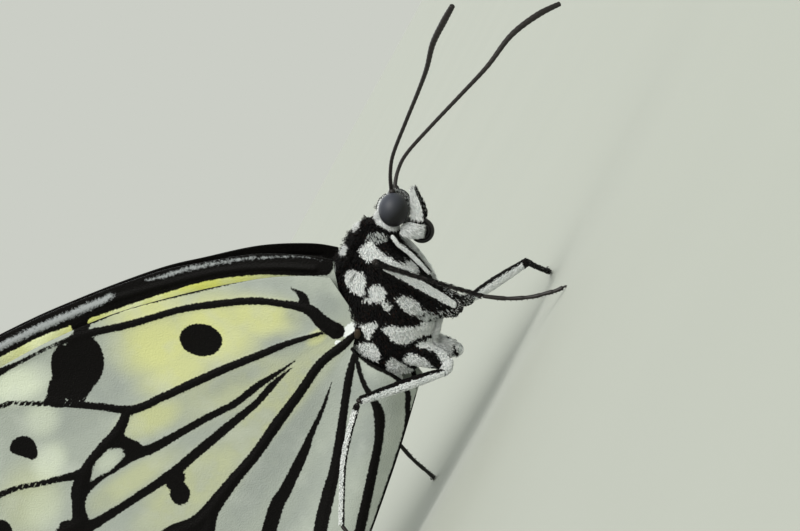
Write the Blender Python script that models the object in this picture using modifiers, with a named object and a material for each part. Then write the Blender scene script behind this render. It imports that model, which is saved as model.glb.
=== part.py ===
"""A large white tree-nymph butterfly at rest, wings closed over its back, at life size.

Units are metres. +X is the way the head points, +Z is up and +Y is the insect's left.
All shapes are laid out in millimetres from the floor point below the front feet, in the
body's own plane of symmetry, and one empty carries them to the middle of the model.
"""
import math

import bmesh
import bpy
from mathutils import Matrix, Vector, geometry

# ---------------------------------------------------------------- driving dimensions
MM = 0.001                    # every length below is in millimetres
MODEL_CENTRE = (23.68, -2.9)  # where the front feet's floor point lies from the middle
GAP = 0.3                     # room left between neighbouring pieces
EYE_GAP = 0.15                # room left round each eye in its socket
WELD = 0.001                  # points closer than this become one
WING_THICKNESS = 0.5
FOREWING_LAYER = 0.45         # middle of the forewing, out from the plane of symmetry
HINDWING_LAYER = 1.25         # middle of the hindwing, outside the forewing
ROOT_SPREAD = 1.5             # how much further apart the wing roots stand
ROOT_SPREAD_REACH = 9.0       # how far from the root the wings close together
ABDOMEN_BULGE = 1.35          # how far the hindwing swells out round the abdomen
ABDOMEN_BULGE_REACH = 2.5
WING_ROOT = (-8.6, 15.0)      # middle of the wing roots, along and up
BODY_SIDES = 20               # sides of the body's cross-sections
LIMB_ROUNDNESS = 2            # bevel resolution of legs and feelers
EYE_SIZE = (1.18, 1.05, 1.33)  # half length across the face, half width, half height
EYE_PLACE = (-0.1, 1.4, 14.3)
HEAD_TURN = math.radians(-62)  # the face looks forward and down
SIDES = {"right": -1.0, "left": 1.0}

BLACK = (0.012, 0.011, 0.012, 1.0)
WHITE = (0.80, 0.82, 0.80, 1.0)
CREAM = (0.72, 0.73, 0.62, 1.0)
EYE_GREY = (0.02, 0.02, 0.026, 1.0)


# ---------------------------------------------------------------- the empty bench
for old in list(bpy.data.objects):
    bpy.data.objects.remove(old, do_unlink=True)

butterfly = bpy.data.collections.new("tree_nymph_butterfly")
bpy.context.scene.collection.children.link(butterfly)
cutters = bpy.data.collections.new("cutters")
bpy.context.scene.collection.children.link(cutters)

stance = bpy.data.objects.new("stance", None)
stance.location = (MODEL_CENTRE[0] * MM, MODEL_CENTRE[1] * MM, 0.0)
butterfly.objects.link(stance)


# ---------------------------------------------------------------- helpers
def material(name, colour, roughness):
    """A plain coloured finish."""
    made = bpy.data.materials.new(name)
    made.use_nodes = True
    shader = made.node_tree.nodes["Principled BSDF"]
    shader.inputs["Base Color"].default_value = colour
    shader.inputs["Roughness"].default_value = roughness
    shader.inputs["Metallic"].default_value = 0.0
    return made


def finish(obj, colour, roughness=0.8):
    """Put a piece in the butterfly, carried by the stance, with a finish of its own."""
    butterfly.objects.link(obj)
    obj.parent = stance
    obj.data.materials.clear()
    obj.data.materials.append(material(obj.name + "_finish", colour, roughness))
    if isinstance(obj.data, bpy.types.Mesh):
        obj.data.shade_smooth()
        obj.data.set_sharp_from_angle(angle=math.radians(40))
    return obj


def finish_cutter(obj):
    """Put a cutting shape in the cutters' collection, carried like the pieces."""
    cutters.objects.link(obj)
    obj.parent = stance
    obj.hide_render = True
    obj.display_type = "WIRE"
    return obj


def cut(obj, cutter):
    """Take one shape out of a piece."""
    boolean = obj.modifiers.new("cut_" + cutter.name, "BOOLEAN")
    boolean.operation = "DIFFERENCE"
    boolean.solver = "EXACT"
    boolean.object = cutter


def mesh_object(name, bm):
    """Turn a finished bmesh into an object with outward faces."""
    bmesh.ops.recalc_face_normals(bm, faces=bm.faces)
    mesh = bpy.data.meshes.new(name)
    bm.to_mesh(mesh)
    bm.free()
    return bpy.data.objects.new(name, mesh)


def smooth_curve(points, t):
    """Read a smooth curve through evenly spread points at t from 0 to 1."""
    spans = len(points) - 1
    place = min(max(t, 0.0), 1.0) * spans
    i = min(int(place), spans - 1)
    f = place - i
    before = points[max(i - 1, 0)]
    a, b = points[i], points[i + 1]
    after = points[min(i + 2, spans)]
    return tuple(
        q + 0.5 * f * (r - p + f * (2 * p - 5 * q + 4 * r - s + f * (3 * (q - r) + s - p)))
        for p, q, r, s in zip(before, a, b, after)
    )


def loft(name, sections, sides=BODY_SIDES, swell=0.0):
    """Join oval cross-sections that stand along the body.

    A section is along, up, half height, half width and the tilt of the body there in
    degrees; swell makes the same shape fatter on every side and longer at both ends.
    """
    bm = bmesh.new()
    rings = []
    last = len(sections) - 1
    for i, (x, z, half_height, half_width, tilt) in enumerate(sections):
        a = math.radians(tilt)
        forward = Vector((math.cos(a), 0.0, math.sin(a)))
        upward = Vector((-math.sin(a), 0.0, math.cos(a)))
        centre = Vector((x, 0.0, z))
        if i == 0:
            centre += forward * swell
        if i == last:
            centre -= forward * swell
        lateral = Vector((0.0, 1.0, 0.0)) * (half_width + swell)
        place = Matrix((lateral, upward * (half_height + swell), forward)).transposed().to_4x4()
        place = Matrix.Scale(MM, 4) @ Matrix.Translation(centre) @ place
        ring = bmesh.ops.create_circle(bm, segments=sides, radius=1.0, matrix=place)
        rings.append(ring["verts"])
    for front, back in zip(rings, rings[1:]):
        edges = {e for v in front + back for e in v.link_edges if len(e.link_faces) < 2}
        own = set(front) | set(back)
        loops = [e for e in edges if e.verts[0] in own and e.verts[1] in own]
        bmesh.ops.bridge_loops(bm, edges=loops)
    bm.faces.new(rings[0])
    bm.faces.new(rings[-1])
    return mesh_object(name, bm)


def ball(name, centre, half_sizes, turn=0.0, across=16, down=10, swell=0.0):
    """An egg: a sphere with its own half length, width and height, turned about Y."""
    bm = bmesh.new()
    size = Matrix.Diagonal(Vector([h + swell for h in half_sizes] + [1.0]))
    place = Matrix.Scale(MM, 4) @ Matrix.Translation(centre) @ Matrix.Rotation(-turn, 4, "Y") @ size
    bmesh.ops.create_uvsphere(bm, u_segments=across, v_segments=down, radius=1.0, matrix=place)
    return mesh_object(name, bm)


def tube(name, route, widths, steps, roundness=LIMB_ROUNDNESS):
    """A limb: a smooth tube with capped ends that runs through route.

    widths are the radii along it, read as a smooth curve like the route.
    """
    curve = bpy.data.curves.new(name, "CURVE")
    curve.dimensions = "3D"
    curve.bevel_depth = MM
    curve.bevel_resolution = roundness
    curve.use_fill_caps = True
    spline = curve.splines.new("POLY")
    spline.points.add(steps)
    radii = [(w,) for w in widths]
    for i, point in enumerate(spline.points):
        t = i / steps
        point.co = tuple(c * MM for c in smooth_curve(route, t)) + (1.0,)
        point.radius = smooth_curve(radii, t)[0]
    return bpy.data.objects.new(name, curve)


def as_mesh(obj):
    """Make a tube a welded mesh, so that it can be cut or can cut."""
    bpy.context.scene.collection.objects.link(obj)
    deps = bpy.context.evaluated_depsgraph_get()
    mesh = bpy.data.meshes.new_from_object(obj.evaluated_get(deps))
    name = obj.name
    bpy.data.objects.remove(obj, do_unlink=True)
    bm = bmesh.new()
    bm.from_mesh(mesh)
    bmesh.ops.remove_doubles(bm, verts=bm.verts, dist=WELD * MM)
    bm.to_mesh(mesh)
    bm.free()
    return bpy.data.objects.new(name, mesh)


def flatten_sole(obj):
    """Slice off what is below the floor, which leaves a small flat to stand on."""
    bm = bmesh.new()
    bm.from_mesh(obj.data)
    sliced = bmesh.ops.bisect_plane(
        bm,
        geom=bm.verts[:] + bm.edges[:] + bm.faces[:],
        plane_co=(0.0, 0.0, 0.0),
        plane_no=(0.0, 0.0, -1.0),
        clear_outer=True,
    )
    edges = [g for g in sliced["geom_cut"] if isinstance(g, bmesh.types.BMEdge)]
    bmesh.ops.edgeloop_fill(bm, edges=edges)
    bmesh.ops.recalc_face_normals(bm, faces=bm.faces)
    bm.to_mesh(obj.data)
    bm.free()
    return obj


# ---------------------------------------------------------------- trunk of the body
# along, up, half height, half width, tilt: from the neck back to the tip of the tail
THORAX = (
    (-3.6, 14.5, 2.3, 2.1, 33),
    (-4.4, 13.85, 3.2, 2.7, 33),
    (-5.7, 12.8, 4.0, 3.15, 33),
    (-7.2, 11.6, 4.35, 3.4, 33),
    (-8.9, 10.5, 4.15, 3.3, 33),
    (-10.4, 9.5, 3.5, 2.8, 32),
    (-11.6, 8.75, 2.7, 2.2, 31),
    (-12.3, 8.35, 1.95, 1.75, 30),
)
PROTHORAX = (
    (-1.75, 15.15, 1.1, 1.1, 36),
    (-2.15, 15.0, 1.75, 1.6, 35),
    (-2.75, 14.8, 2.05, 1.9, 34),
    (-3.35, 14.6, 2.0, 1.85, 33),
)
ABDOMEN = (
    (-12.8, 8.5, 1.3, 1.3, 24),
    (-13.6, 8.2, 1.65, 1.55, 21),
    (-16.4, 7.3, 1.75, 1.65, 17),
    (-19.4, 6.5, 1.8, 1.7, 13),
    (-22.4, 5.85, 1.8, 1.7, 11),
    (-25.4, 5.3, 1.75, 1.65, 10),
    (-28.4, 4.8, 1.6, 1.55, 9),
    (-31.2, 4.4, 1.35, 1.35, 8),
    (-33.6, 4.1, 1.0, 1.0, 6),
    (-34.9, 3.95, 0.45, 0.45, 5),
)
ABDOMEN_JOINTS = (2, 4, 6)    # the sections where one length of the abdomen meets the next


def abdomen_lengths():
    """The abdomen in four lengths, each starting a gap behind the one before."""
    starts = (0,) + ABDOMEN_JOINTS
    ends = ABDOMEN_JOINTS + (len(ABDOMEN) - 1,)
    for number, (start, end) in enumerate(zip(starts, ends), 1):
        sections = list(ABDOMEN[start:end + 1])
        if start:
            x, z, half_height, half_width, tilt = sections[0]
            a = math.radians(tilt)
            sections[0] = (x - GAP * math.cos(a), z - GAP * math.sin(a), half_height, half_width, tilt)
        yield loft("abdomen_%d" % number, sections, sides=16)


# ---------------------------------------------------------------- legs
# Each point is along, across and up. The right side is minus across.
HIPS = {
    ("mid", "right"): (-4.85, -0.95, 6.1),
    ("mid", "left"): (-4.85, 0.95, 6.1),
    ("hind", "right"): (-9.05, -0.95, 4.7),
    ("hind", "left"): (-8.5, 1.05, 4.3),
}
COXA_ROOTS = {"mid": (-6.3, 1.5, 10.0), "hind": (-9.8, 1.45, 8.4)}
COXA_WIDTHS = {"mid": (1.05, 1.1, 0.95, 0.65), "hind": (1.1, 1.15, 1.0, 0.65)}
LEGS = {
    ("mid", "right"): {
        "femur": ((-4.4, -2.25, 6.5), (-3.9, -3.6, 10.2), (-3.45, -5.0, 13.8)),
        "tibia": ((-3.25, -5.85, 13.7), (-2.55, -5.5, 9.8), (-1.75, -5.15, 5.6)),
        "tarsus": ((-1.6, -5.1, 5.0), (-1.1, -5.05, 3.8), (-0.55, -5.0, 2.6), (0.15, -5.0, 1.5),
                   (0.7, -5.0, 0.65), (1.3, -5.0, 0.2), (1.95, -5.0, 0.2)),
    },
    ("mid", "left"): {
        "femur": ((-4.75, 2.15, 5.6), (-3.15, 4.5, 4.3), (-1.25, 6.8, 2.85)),
        "tibia": ((-1.35, 7.45, 2.6), (-2.3, 10.6, 1.55), (-3.2, 13.8, 0.45)),
        "tarsus": ((-3.35, 14.5, 0.28), (-3.7, 15.7, 0.2), (-4.1, 17.0, 0.2), (-4.45, 18.2, 0.2),
                   (-4.7, 19.2, 0.2)),
    },
    ("hind", "right"): {
        "femur": ((-9.55, -2.2, 4.75), (-11.45, -4.4, 7.2), (-13.2, -6.4, 9.5)),
        "tibia": ((-13.75, -6.8, 9.65), (-17.8, -7.6, 8.1), (-22.1, -8.4, 6.3)),
        "tarsus": ((-22.7, -8.7, 5.6), (-23.5, -9.5, 3.6), (-24.2, -10.6, 1.6), (-24.7, -11.8, 0.35),
                   (-25.0, -12.6, 0.2), (-25.2, -13.4, 0.2)),
    },
    ("hind", "left"): {
        "femur": ((-9.1, 2.3, 4.6), (-10.9, 4.5, 6.9), (-12.5, 6.5, 8.7)),
        "tibia": ((-13.1, 6.85, 8.55), (-17.0, 8.4, 6.9), (-20.8, 9.8, 5.05)),
        "tarsus": ((-21.4, 10.2, 4.3), (-22.3, 11.2, 2.7), (-23.1, 12.4, 1.2), (-23.7, 13.5, 0.35),
                   (-24.1, 14.3, 0.2), (-24.4, 15.1, 0.2)),
    },
}
FEMUR_WIDTHS = (0.28, 0.46, 0.48, 0.44, 0.36, 0.3)
TIBIA_WIDTHS = (0.3, 0.31, 0.29, 0.27, 0.26)
TARSUS_WIDTHS = (0.26, 0.27, 0.26, 0.27, 0.25)


def longer(route, more):
    """The same route, drawn out by a little at both ends."""
    first, second = Vector(route[0]), Vector(route[1])
    before, last = Vector(route[-2]), Vector(route[-1])
    first += (first - second).normalized() * more
    last += (last - before).normalized() * more
    return (tuple(first),) + tuple(route[1:-1]) + (tuple(last),)


def room_for(name, route, widths, steps, roundness):
    """A cutter that frees a limb from the breast it is pressed against."""
    fat = tuple(w + GAP for w in widths)
    return finish_cutter(as_mesh(tube("room_for_" + name, longer(route, GAP), fat, steps, roundness)))


def leg(pair, side):
    """Coxa, femur, tibia and tarsus of one leg; gives back the room its coxa needs."""
    name = pair + "_%s_" + side
    sign = SIDES[side]
    root = COXA_ROOTS[pair]
    route = ((root[0], sign * root[1], root[2]), HIPS[pair, side])
    widths = COXA_WIDTHS[pair]
    finish(as_mesh(tube(name % "coxa", route, widths, 5, roundness=3)), BLACK)
    room = room_for(name % "coxa", route, widths, 5, 3)

    joints = LEGS[pair, side]
    finish(tube(name % "femur", joints["femur"], FEMUR_WIDTHS, 8), WHITE)
    finish(tube(name % "tibia", joints["tibia"], TIBIA_WIDTHS, 6), BLACK)
    tarsus = as_mesh(tube(name % "tarsus", joints["tarsus"], TARSUS_WIDTHS, 12))
    finish(flatten_sole(tarsus), BLACK)
    return room


FORELEG_ROUTES = {
    "right": ((-2.3, -1.45, 12.95), (-2.5, -1.3, 12.0), (-2.9, -1.15, 10.7), (-3.4, -1.0, 9.35)),
    "left": ((-2.55, 0.9, 12.3), (-2.9, 0.9, 11.3), (-3.4, 0.9, 10.1), (-3.95, 0.9, 8.8)),
}
FORELEG_WIDTHS = (0.28, 0.4, 0.42, 0.4, 0.34, 0.28)


def foreleg(side):
    """A brush-foot foreleg, folded up against the breast, and the room it needs."""
    name = "foreleg_" + side
    finish(tube(name, FORELEG_ROUTES[side], FORELEG_WIDTHS, 8), WHITE)
    return room_for(name, FORELEG_ROUTES[side], FORELEG_WIDTHS, 8, LIMB_ROUNDNESS)


# ---------------------------------------------------------------- head
HEAD_CENTRE = (-0.45, 0.0, 14.45)
HEAD_SIZE = (1.5, 1.5, 1.45)
PALP_ROUTE = ((-1.5, 1.1, 12.4), (-1.15, 1.2, 11.95), (-0.55, 1.12, 11.85), (0.25, 0.88, 12.3),
              (1.05, 0.65, 12.98), (1.85, 0.5, 13.8))
PALP_WIDTHS = (0.4, 0.55, 0.55, 0.5, 0.44, 0.2)
COIL_CENTRE = (-1.0, 0.0, 11.65)
FEELERS = {
    "right": ((1.07, -0.56, 15.32), (2.3, -1.25, 15.95), (4.1, -2.3, 16.5), (7.6, -4.4, 16.9),
              (10.6, -6.3, 17.2), (12.9, -7.9, 17.5), (15.2, -9.5, 18.0), (17.4, -11.0, 18.1),
              (19.1, -12.0, 18.1)),
    "left": ((1.11, 0.56, 15.16), (2.1, 1.3, 15.5), (3.3, 2.5, 15.5), (5.7, 4.4, 14.8),
             (8.5, 6.4, 13.9), (11.1, 8.2, 13.1), (13.8, 9.8, 12.6), (16.0, 11.1, 11.5),
             (17.5, 12.1, 10.3)),
}
FEELER_WIDTHS = (0.3, 0.25, 0.25, 0.25, 0.25, 0.25, 0.26, 0.3, 0.34, 0.36, 0.3)


def build_head():
    """Head capsule with its eyes, feelers, palps and coiled tongue."""
    head = finish(ball("head", HEAD_CENTRE, HEAD_SIZE, HEAD_TURN, across=20, down=12), BLACK)
    for side, sign in SIDES.items():
        x, y, z = EYE_PLACE
        place = (x, sign * y, z)
        finish(ball("eye_" + side, place, EYE_SIZE, HEAD_TURN, across=14, down=9), EYE_GREY, 0.15)
        room = ball("room_for_eye_" + side, place, EYE_SIZE, HEAD_TURN, across=14, down=9, swell=EYE_GAP)
        cut(head, finish_cutter(room))
        finish(tube("feeler_" + side, FEELERS[side], FEELER_WIDTHS, 20), BLACK, 0.5)
        palp = tuple((px, sign * py, pz) for px, py, pz in PALP_ROUTE)
        finish(tube("palp_" + side, palp, PALP_WIDTHS, 9), WHITE)
    return head


def build_tongue():
    """The coiled tongue: a turned disc with a rounded rim, hollowed at its middle."""
    profile = ((0.25, 0.22), (0.55, 0.3), (0.85, 0.3), (1.05, 0.2), (1.12, 0.0),
               (1.05, -0.2), (0.85, -0.3), (0.55, -0.3), (0.25, -0.22))
    bm = bmesh.new()
    verts = [bm.verts.new((r * MM, 0.0, h * MM)) for r, h in profile]
    for a, b in zip(verts, verts[1:] + verts[:1]):
        bm.edges.new((a, b))
    mesh = bpy.data.meshes.new("tongue")
    bm.to_mesh(mesh)
    bm.free()
    tongue = finish(bpy.data.objects.new("tongue", mesh), BLACK, 0.35)
    tongue.location = tuple(c * MM for c in COIL_CENTRE)
    tongue.rotation_euler = (math.radians(90), 0.0, 0.0)
    screw = tongue.modifiers.new("turn", "SCREW")
    screw.steps = screw.render_steps = 16
    screw.use_merge_vertices = True
    screw.merge_threshold = WELD * MM
    screw.use_normal_calculate = True
    return tongue


# ---------------------------------------------------------------- wings
# Each edge is a few points along and up. Front and rear run outwards, root and outer down.
FOREWING = {
    "root": ((-6.6, 16.9), (-8.6, 14.9), (-10.6, 12.9)),
    "front": ((-6.6, 16.9), (-9.0, 22.1), (-15.1, 28.7), (-25.8, 37.1), (-38.6, 45.4), (-49.5, 50.8),
              (-56.3, 52.9), (-61.5, 52.7)),
    "outer": ((-61.5, 52.7), (-65.5, 49.2), (-66.6, 42.5), (-65.2, 34.5), (-61.8, 26.3), (-57.3, 19.4),
              (-52.6, 13.4)),
    "rear": ((-10.6, 12.9), (-18.0, 11.3), (-29.0, 10.9), (-41.0, 11.6), (-52.6, 13.4)),
}
HINDWING = {
    "root": ((-7.3, 15.8), (-9.2, 13.6), (-11.0, 11.2), (-11.4, 8.6), (-12.6, 6.4)),
    "front": ((-7.3, 15.8), (-9.3, 18.2), (-14.0, 24.7), (-20.0, 30.5), (-27.6, 35.9), (-36.0, 39.8),
              (-43.5, 41.3), (-49.5, 40.4)),
    "outer": ((-49.5, 40.4), (-55.6, 35.4), (-59.9, 27.4), (-61.6, 18.0), (-60.9, 9.5), (-57.8, 3.2)),
    "rear": ((-12.6, 6.4), (-20.0, 4.3), (-30.0, 2.7), (-40.0, 1.0), (-49.5, -0.4), (-57.8, 3.2)),
}
WING_GRID = (16, 12)


def wing_point(edges, u, v):
    """A point of the wing's plane, u from root to outer edge and v from front to rear."""
    front, rear = smooth_curve(edges["front"], u), smooth_curve(edges["rear"], u)
    root, outer = smooth_curve(edges["root"], v), smooth_curve(edges["outer"], v)
    point = []
    for k in (0, 1):
        sides = (1 - v) * front[k] + v * rear[k]
        ends = (1 - u) * root[k] + u * outer[k]
        at_root = (1 - v) * edges["root"][0][k] + v * edges["root"][-1][k]
        at_outer = (1 - v) * edges["outer"][0][k] + v * edges["outer"][-1][k]
        point.append(sides + ends - (1 - u) * at_root - u * at_outer)
    return point


def abdomen_distance(x, z):
    """How far a point of the wing's plane lies from the middle line of the abdomen."""
    best = 1.0e3
    point = Vector((x, z))
    for a, b in zip(ABDOMEN, ABDOMEN[1:]):
        near, share = geometry.intersect_point_line(point, Vector(a[:2]), Vector(b[:2]))
        share = min(max(share, 0.0), 1.0)
        near = Vector(a[:2]).lerp(Vector(b[:2]), share)
        best = min(best, (point - near).length)
    return best


def wing_offset(x, z, layer, bulge):
    """How far out from the plane of symmetry the wing's middle surface lies."""
    away = math.dist((x, z), WING_ROOT) / ROOT_SPREAD_REACH
    spread = ROOT_SPREAD * math.exp(-away * away)
    swell = bulge * math.exp(-(abdomen_distance(x, z) / ABDOMEN_BULGE_REACH) ** 2)
    return layer + spread + swell


def wing(name, edges, layer, bulge, sign, room):
    """One wing: a fine grid bent to the wing's outline and thickened."""
    columns, rows = WING_GRID
    bm = bmesh.new()
    bmesh.ops.create_grid(bm, x_segments=columns, y_segments=rows, size=0.5)
    for vert in bm.verts:
        x, z = wing_point(edges, vert.co.x + 0.5, vert.co.y + 0.5)
        z = max(z, 0.0)
        vert.co = Vector((x, sign * wing_offset(x, z, layer, bulge), z)) * MM
    plate = finish(mesh_object(name, bm), CREAM)
    solidify = plate.modifiers.new("thickness", "SOLIDIFY")
    solidify.thickness = WING_THICKNESS * MM
    solidify.offset = 0.0
    cut(plate, room)
    return plate


# ---------------------------------------------------------------- the whole insect
thorax = finish(loft("thorax", THORAX), BLACK)
prothorax = finish(loft("prothorax", PROTHORAX), BLACK)
cut(prothorax, finish_cutter(ball("room_for_head", HEAD_CENTRE, HEAD_SIZE, HEAD_TURN, swell=GAP)))
for length in abdomen_lengths():
    finish(length, WHITE)
build_head()
build_tongue()

room_for_thorax = finish_cutter(loft("room_for_thorax", THORAX, swell=GAP))
for side, sign in SIDES.items():
    cut(thorax, leg("mid", side))
    cut(thorax, leg("hind", side))
    cut(thorax, foreleg(side))
    wing("forewing_" + side, FOREWING, FOREWING_LAYER, 0.0, sign, room_for_thorax)
    wing("hindwing_" + side, HINDWING, HINDWING_LAYER, ABDOMEN_BULGE, sign, room_for_thorax)

print("built", len(butterfly.objects) - 1, "pieces")
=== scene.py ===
# %% [markdown]
# # A large tree nymph, life size
#
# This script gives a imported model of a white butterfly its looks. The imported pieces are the
# frame: they say where everything is, and nothing here moves or resizes them. On top of them
# come thin wings with their painted scales, one skin for the body, and the coat of hairs and
# scales that makes a butterfly look soft.

# %% The frame
import math

import bmesh
import bpy
import numpy as np
from mathutils import Matrix, Vector


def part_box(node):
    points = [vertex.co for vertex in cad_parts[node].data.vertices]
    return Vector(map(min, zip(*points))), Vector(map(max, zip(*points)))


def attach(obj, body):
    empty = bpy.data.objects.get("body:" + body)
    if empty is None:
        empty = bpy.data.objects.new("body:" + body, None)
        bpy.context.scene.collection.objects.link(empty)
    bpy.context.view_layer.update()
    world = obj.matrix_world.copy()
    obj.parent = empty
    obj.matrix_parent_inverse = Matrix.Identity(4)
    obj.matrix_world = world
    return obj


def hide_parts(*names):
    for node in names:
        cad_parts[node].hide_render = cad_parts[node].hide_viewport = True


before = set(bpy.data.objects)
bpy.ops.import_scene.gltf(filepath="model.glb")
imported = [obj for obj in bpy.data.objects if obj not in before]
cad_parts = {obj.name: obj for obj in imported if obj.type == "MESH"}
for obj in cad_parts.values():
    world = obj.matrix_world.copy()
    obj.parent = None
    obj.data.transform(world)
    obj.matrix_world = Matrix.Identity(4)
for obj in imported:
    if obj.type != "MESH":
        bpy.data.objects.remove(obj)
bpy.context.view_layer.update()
print("frame:", len(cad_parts), "nodes")

# %% [markdown]
# Everything is laid out in millimetres in the insect's own axes: +X is the way the head points,
# +Z is up, Y = 0 is its plane of symmetry, and the origin is on the floor below the near foot.
# The coiled tongue lies in that plane at a known place, so its box tells where the insect's
# origin lies in the frame, and one matrix carries finished meshes there.

# %% From the insect's axes to the frame
MM = 0.001
TONGUE_CENTRE = (-1.0, 0.0, 11.65)

low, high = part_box("tongue")
INSECT_ORIGIN = (low + high) / 2 - Vector(TONGUE_CENTRE) * MM
TO_FRAME = Matrix.Translation(INSECT_ORIGIN) @ Matrix.Scale(MM, 4)
SIDES = {"right": -1.0, "left": 1.0}
print("insect's origin in the frame, mm:", [round(c / MM, 2) for c in INSECT_ORIGIN])

# %% [markdown]
# ## The view
#
# A long lens stands low on the insect's right, a little ahead of it. The insect rests here on a
# flat floor, and the view shows it climbing with its head up, so the camera is rolled about its
# own line of sight.

# %% Camera
LENS = 160.0
SENSOR_WIDTH = 36.0
CLIP_START = 0.005
AIM = Vector((-4.004, -1.0, 11.822))     # the middle of the view, in the insect's millimetres
DISTANCE = 278.0                         # from there to the camera
HEADING = math.radians(18)
HEIGHT_ANGLE = math.radians(2)
ROLL = math.radians(61.6)

back = Vector((
    math.sin(HEADING) * math.cos(HEIGHT_ANGLE),
    -math.cos(HEADING) * math.cos(HEIGHT_ANGLE),
    math.sin(HEIGHT_ANGLE),
))
level_right = Vector((math.cos(HEADING), math.sin(HEADING), 0.0))
level_up = back.cross(level_right)
right = math.cos(ROLL) * level_right - math.sin(ROLL) * level_up
up = math.sin(ROLL) * level_right + math.cos(ROLL) * level_up

camera_data = bpy.data.cameras.new("camera")
camera_data.lens = LENS
camera_data.sensor_width = SENSOR_WIDTH
camera_data.clip_start = CLIP_START
camera = bpy.data.objects.new("camera", camera_data)
bpy.context.scene.collection.objects.link(camera)
eye_point = TO_FRAME @ (AIM + back * DISTANCE)
camera.matrix_world = Matrix.Translation(eye_point) @ Matrix((right, up, back)).transposed().to_4x4()
bpy.context.scene.camera = camera
print("camera height above the floor, mm:", round(eye_point.z / MM, 1))


# %% [markdown]
# ## Finishes
#
# Colours are picked as sRGB hex values, as on a paint card, and the shader wants them linear.
# One helper adds a shader node with its settings and links, so that a material reads as a list
# of what is done to the surface.

# %% Colour and shader helpers
def paint(hex_colour):
    """An sRGB hex colour as linear red, green, blue and alpha."""
    channels = [int(hex_colour[i:i + 2], 16) / 255 for i in (1, 3, 5)]
    linear = [c / 12.92 if c <= 0.04045 else ((c + 0.055) / 1.055) ** 2.4 for c in channels]
    return (*linear, 1.0)


def add(tree, kind, inputs=None, **settings):
    """One shader node; an input takes a plain value or another node's output."""
    made = tree.nodes.new("ShaderNode" + kind)
    for name, value in settings.items():
        setattr(made, name, value)
    for key, value in (inputs or {}).items():
        if isinstance(value, bpy.types.NodeSocket):
            tree.links.new(value, made.inputs[key])
        else:
            made.inputs[key].default_value = value
    return made


def start_material(name, **sockets):
    """A new material: its tree, its Principled shader and the place on the piece in metres."""
    made = bpy.data.materials.new(name)
    made.use_nodes = True
    tree = made.node_tree
    shader = tree.nodes["Principled BSDF"]
    for key, value in sockets.items():
        shader.inputs[key.replace("_", " ")].default_value = value
    place = add(tree, "TexCoord").outputs["Object"]
    return made, tree, shader, place


def mixed(tree, factor, a, b):
    """The colour a, turning to b as factor goes from 0 to 1."""
    node = add(tree, "Mix", {0: factor, 6: a, 7: b}, data_type="RGBA")
    return node.outputs[2]


def remap(tree, value, low, high, to_low=0.0, to_high=1.0):
    """A value from low..high spread over to_low..to_high, held at both ends."""
    node = add(tree, "MapRange", {0: value, 1: low, 2: high, 3: to_low, 4: to_high})
    return node.outputs[0]


def noise(tree, place, size_mm, detail=2.0, roughness=0.5):
    """Soft noise from 0 to 1 whose lumps are about size_mm across."""
    node = add(tree, "TexNoise", {"Vector": place, "Scale": 1 / (size_mm * MM), "Detail": detail,
                                  "Roughness": roughness})
    return node.outputs[0]


def maths(tree, operation, a, b=0.0):
    return add(tree, "Math", {0: a, 1: b}, operation=operation).outputs[0]


def bump(tree, shader, height, depth_mm):
    """Raise the surface by up to depth_mm where height is 1."""
    node = add(tree, "Bump", {"Height": height, "Distance": depth_mm * MM, "Strength": 1.0})
    tree.links.new(node.outputs[0], shader.inputs["Normal"])


# %% [markdown]
# Meshes are made with bmesh or with arrays, and a few small functions carry them over.

# %% Mesh helpers
def mesh_from(bm, name):
    """A mesh with what the bmesh holds, which is freed."""
    mesh = bpy.data.meshes.new(name)
    bm.to_mesh(mesh)
    bm.free()
    return mesh


def new_object(name, data):
    made = bpy.data.objects.new(name, data)
    bpy.context.scene.collection.objects.link(made)
    return made


def vertex_values(mesh, key):
    """Three numbers for each vertex: its place for the key co, its direction for normal."""
    values = np.empty(len(mesh.vertices) * 3)
    mesh.vertices.foreach_get(key, values)
    return values.reshape(-1, 3)


def put_attribute(mesh, name, values):
    """Keep one number for each vertex on the mesh."""
    attribute = mesh.attributes.new(name, "FLOAT", "POINT")
    attribute.data.foreach_set("value", np.asarray(values, np.float32))


# %% [markdown]
# ## The set
#
# The insect stands on a plain pale board in even daylight, as in a light tent. A wide soft lamp
# stands behind the camera and above it, and a weaker one behind the insect catches the hairs
# along its back. Both shine evenly over the whole board, and the board's paint is chosen so
# that it ends up as bright as the tent behind it, which hides the horizon.

# %% Board, tent and lamps
BOARD_SIZE = 8.0
TENT = "#CBCEC6"
TENT_STRENGTH = 1.0


def build_board():
    bm = bmesh.new()
    bmesh.ops.create_grid(bm, x_segments=1, y_segments=1, size=BOARD_SIZE / 2)
    mesh = mesh_from(bm, "floor")
    board = new_object("floor", mesh)
    made, tree, shader, place = start_material("painted_board", Roughness=0.9)
    cloud = noise(tree, place, 60.0)
    colour = mixed(tree, cloud, paint("#ABAEA6"), paint("#B0B3AB"))
    tree.links.new(colour, shader.inputs["Base Color"])
    mesh.materials.append(made)


def add_lamp(name, towards, strength, softness, colour):
    """An even soft lamp that stands in the direction towards; softness is in degrees."""
    lamp_data = bpy.data.lights.new(name, "SUN")
    lamp_data.angle = math.radians(softness)
    lamp_data.energy = strength
    lamp_data.color = paint(colour)[:3]
    lamp = new_object(name, lamp_data)
    lamp.rotation_euler = Vector(towards).to_track_quat("Z", "Y").to_euler()


build_board()
add_lamp("key_lamp", (0.30, -0.75, 0.80), 2.6, 40, "#FFFEFA")
add_lamp("rim_lamp", (-0.25, 0.85, 0.55), 0.7, 50, "#F4FAFF")

world = bpy.data.worlds.new("light_tent")
world.use_nodes = True
tent = world.node_tree.nodes["Background"]
tent.inputs["Color"].default_value = paint(TENT)
tent.inputs["Strength"].default_value = TENT_STRENGTH
bpy.context.scene.world = world
bpy.context.scene.view_settings.view_transform = "Standard"


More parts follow.
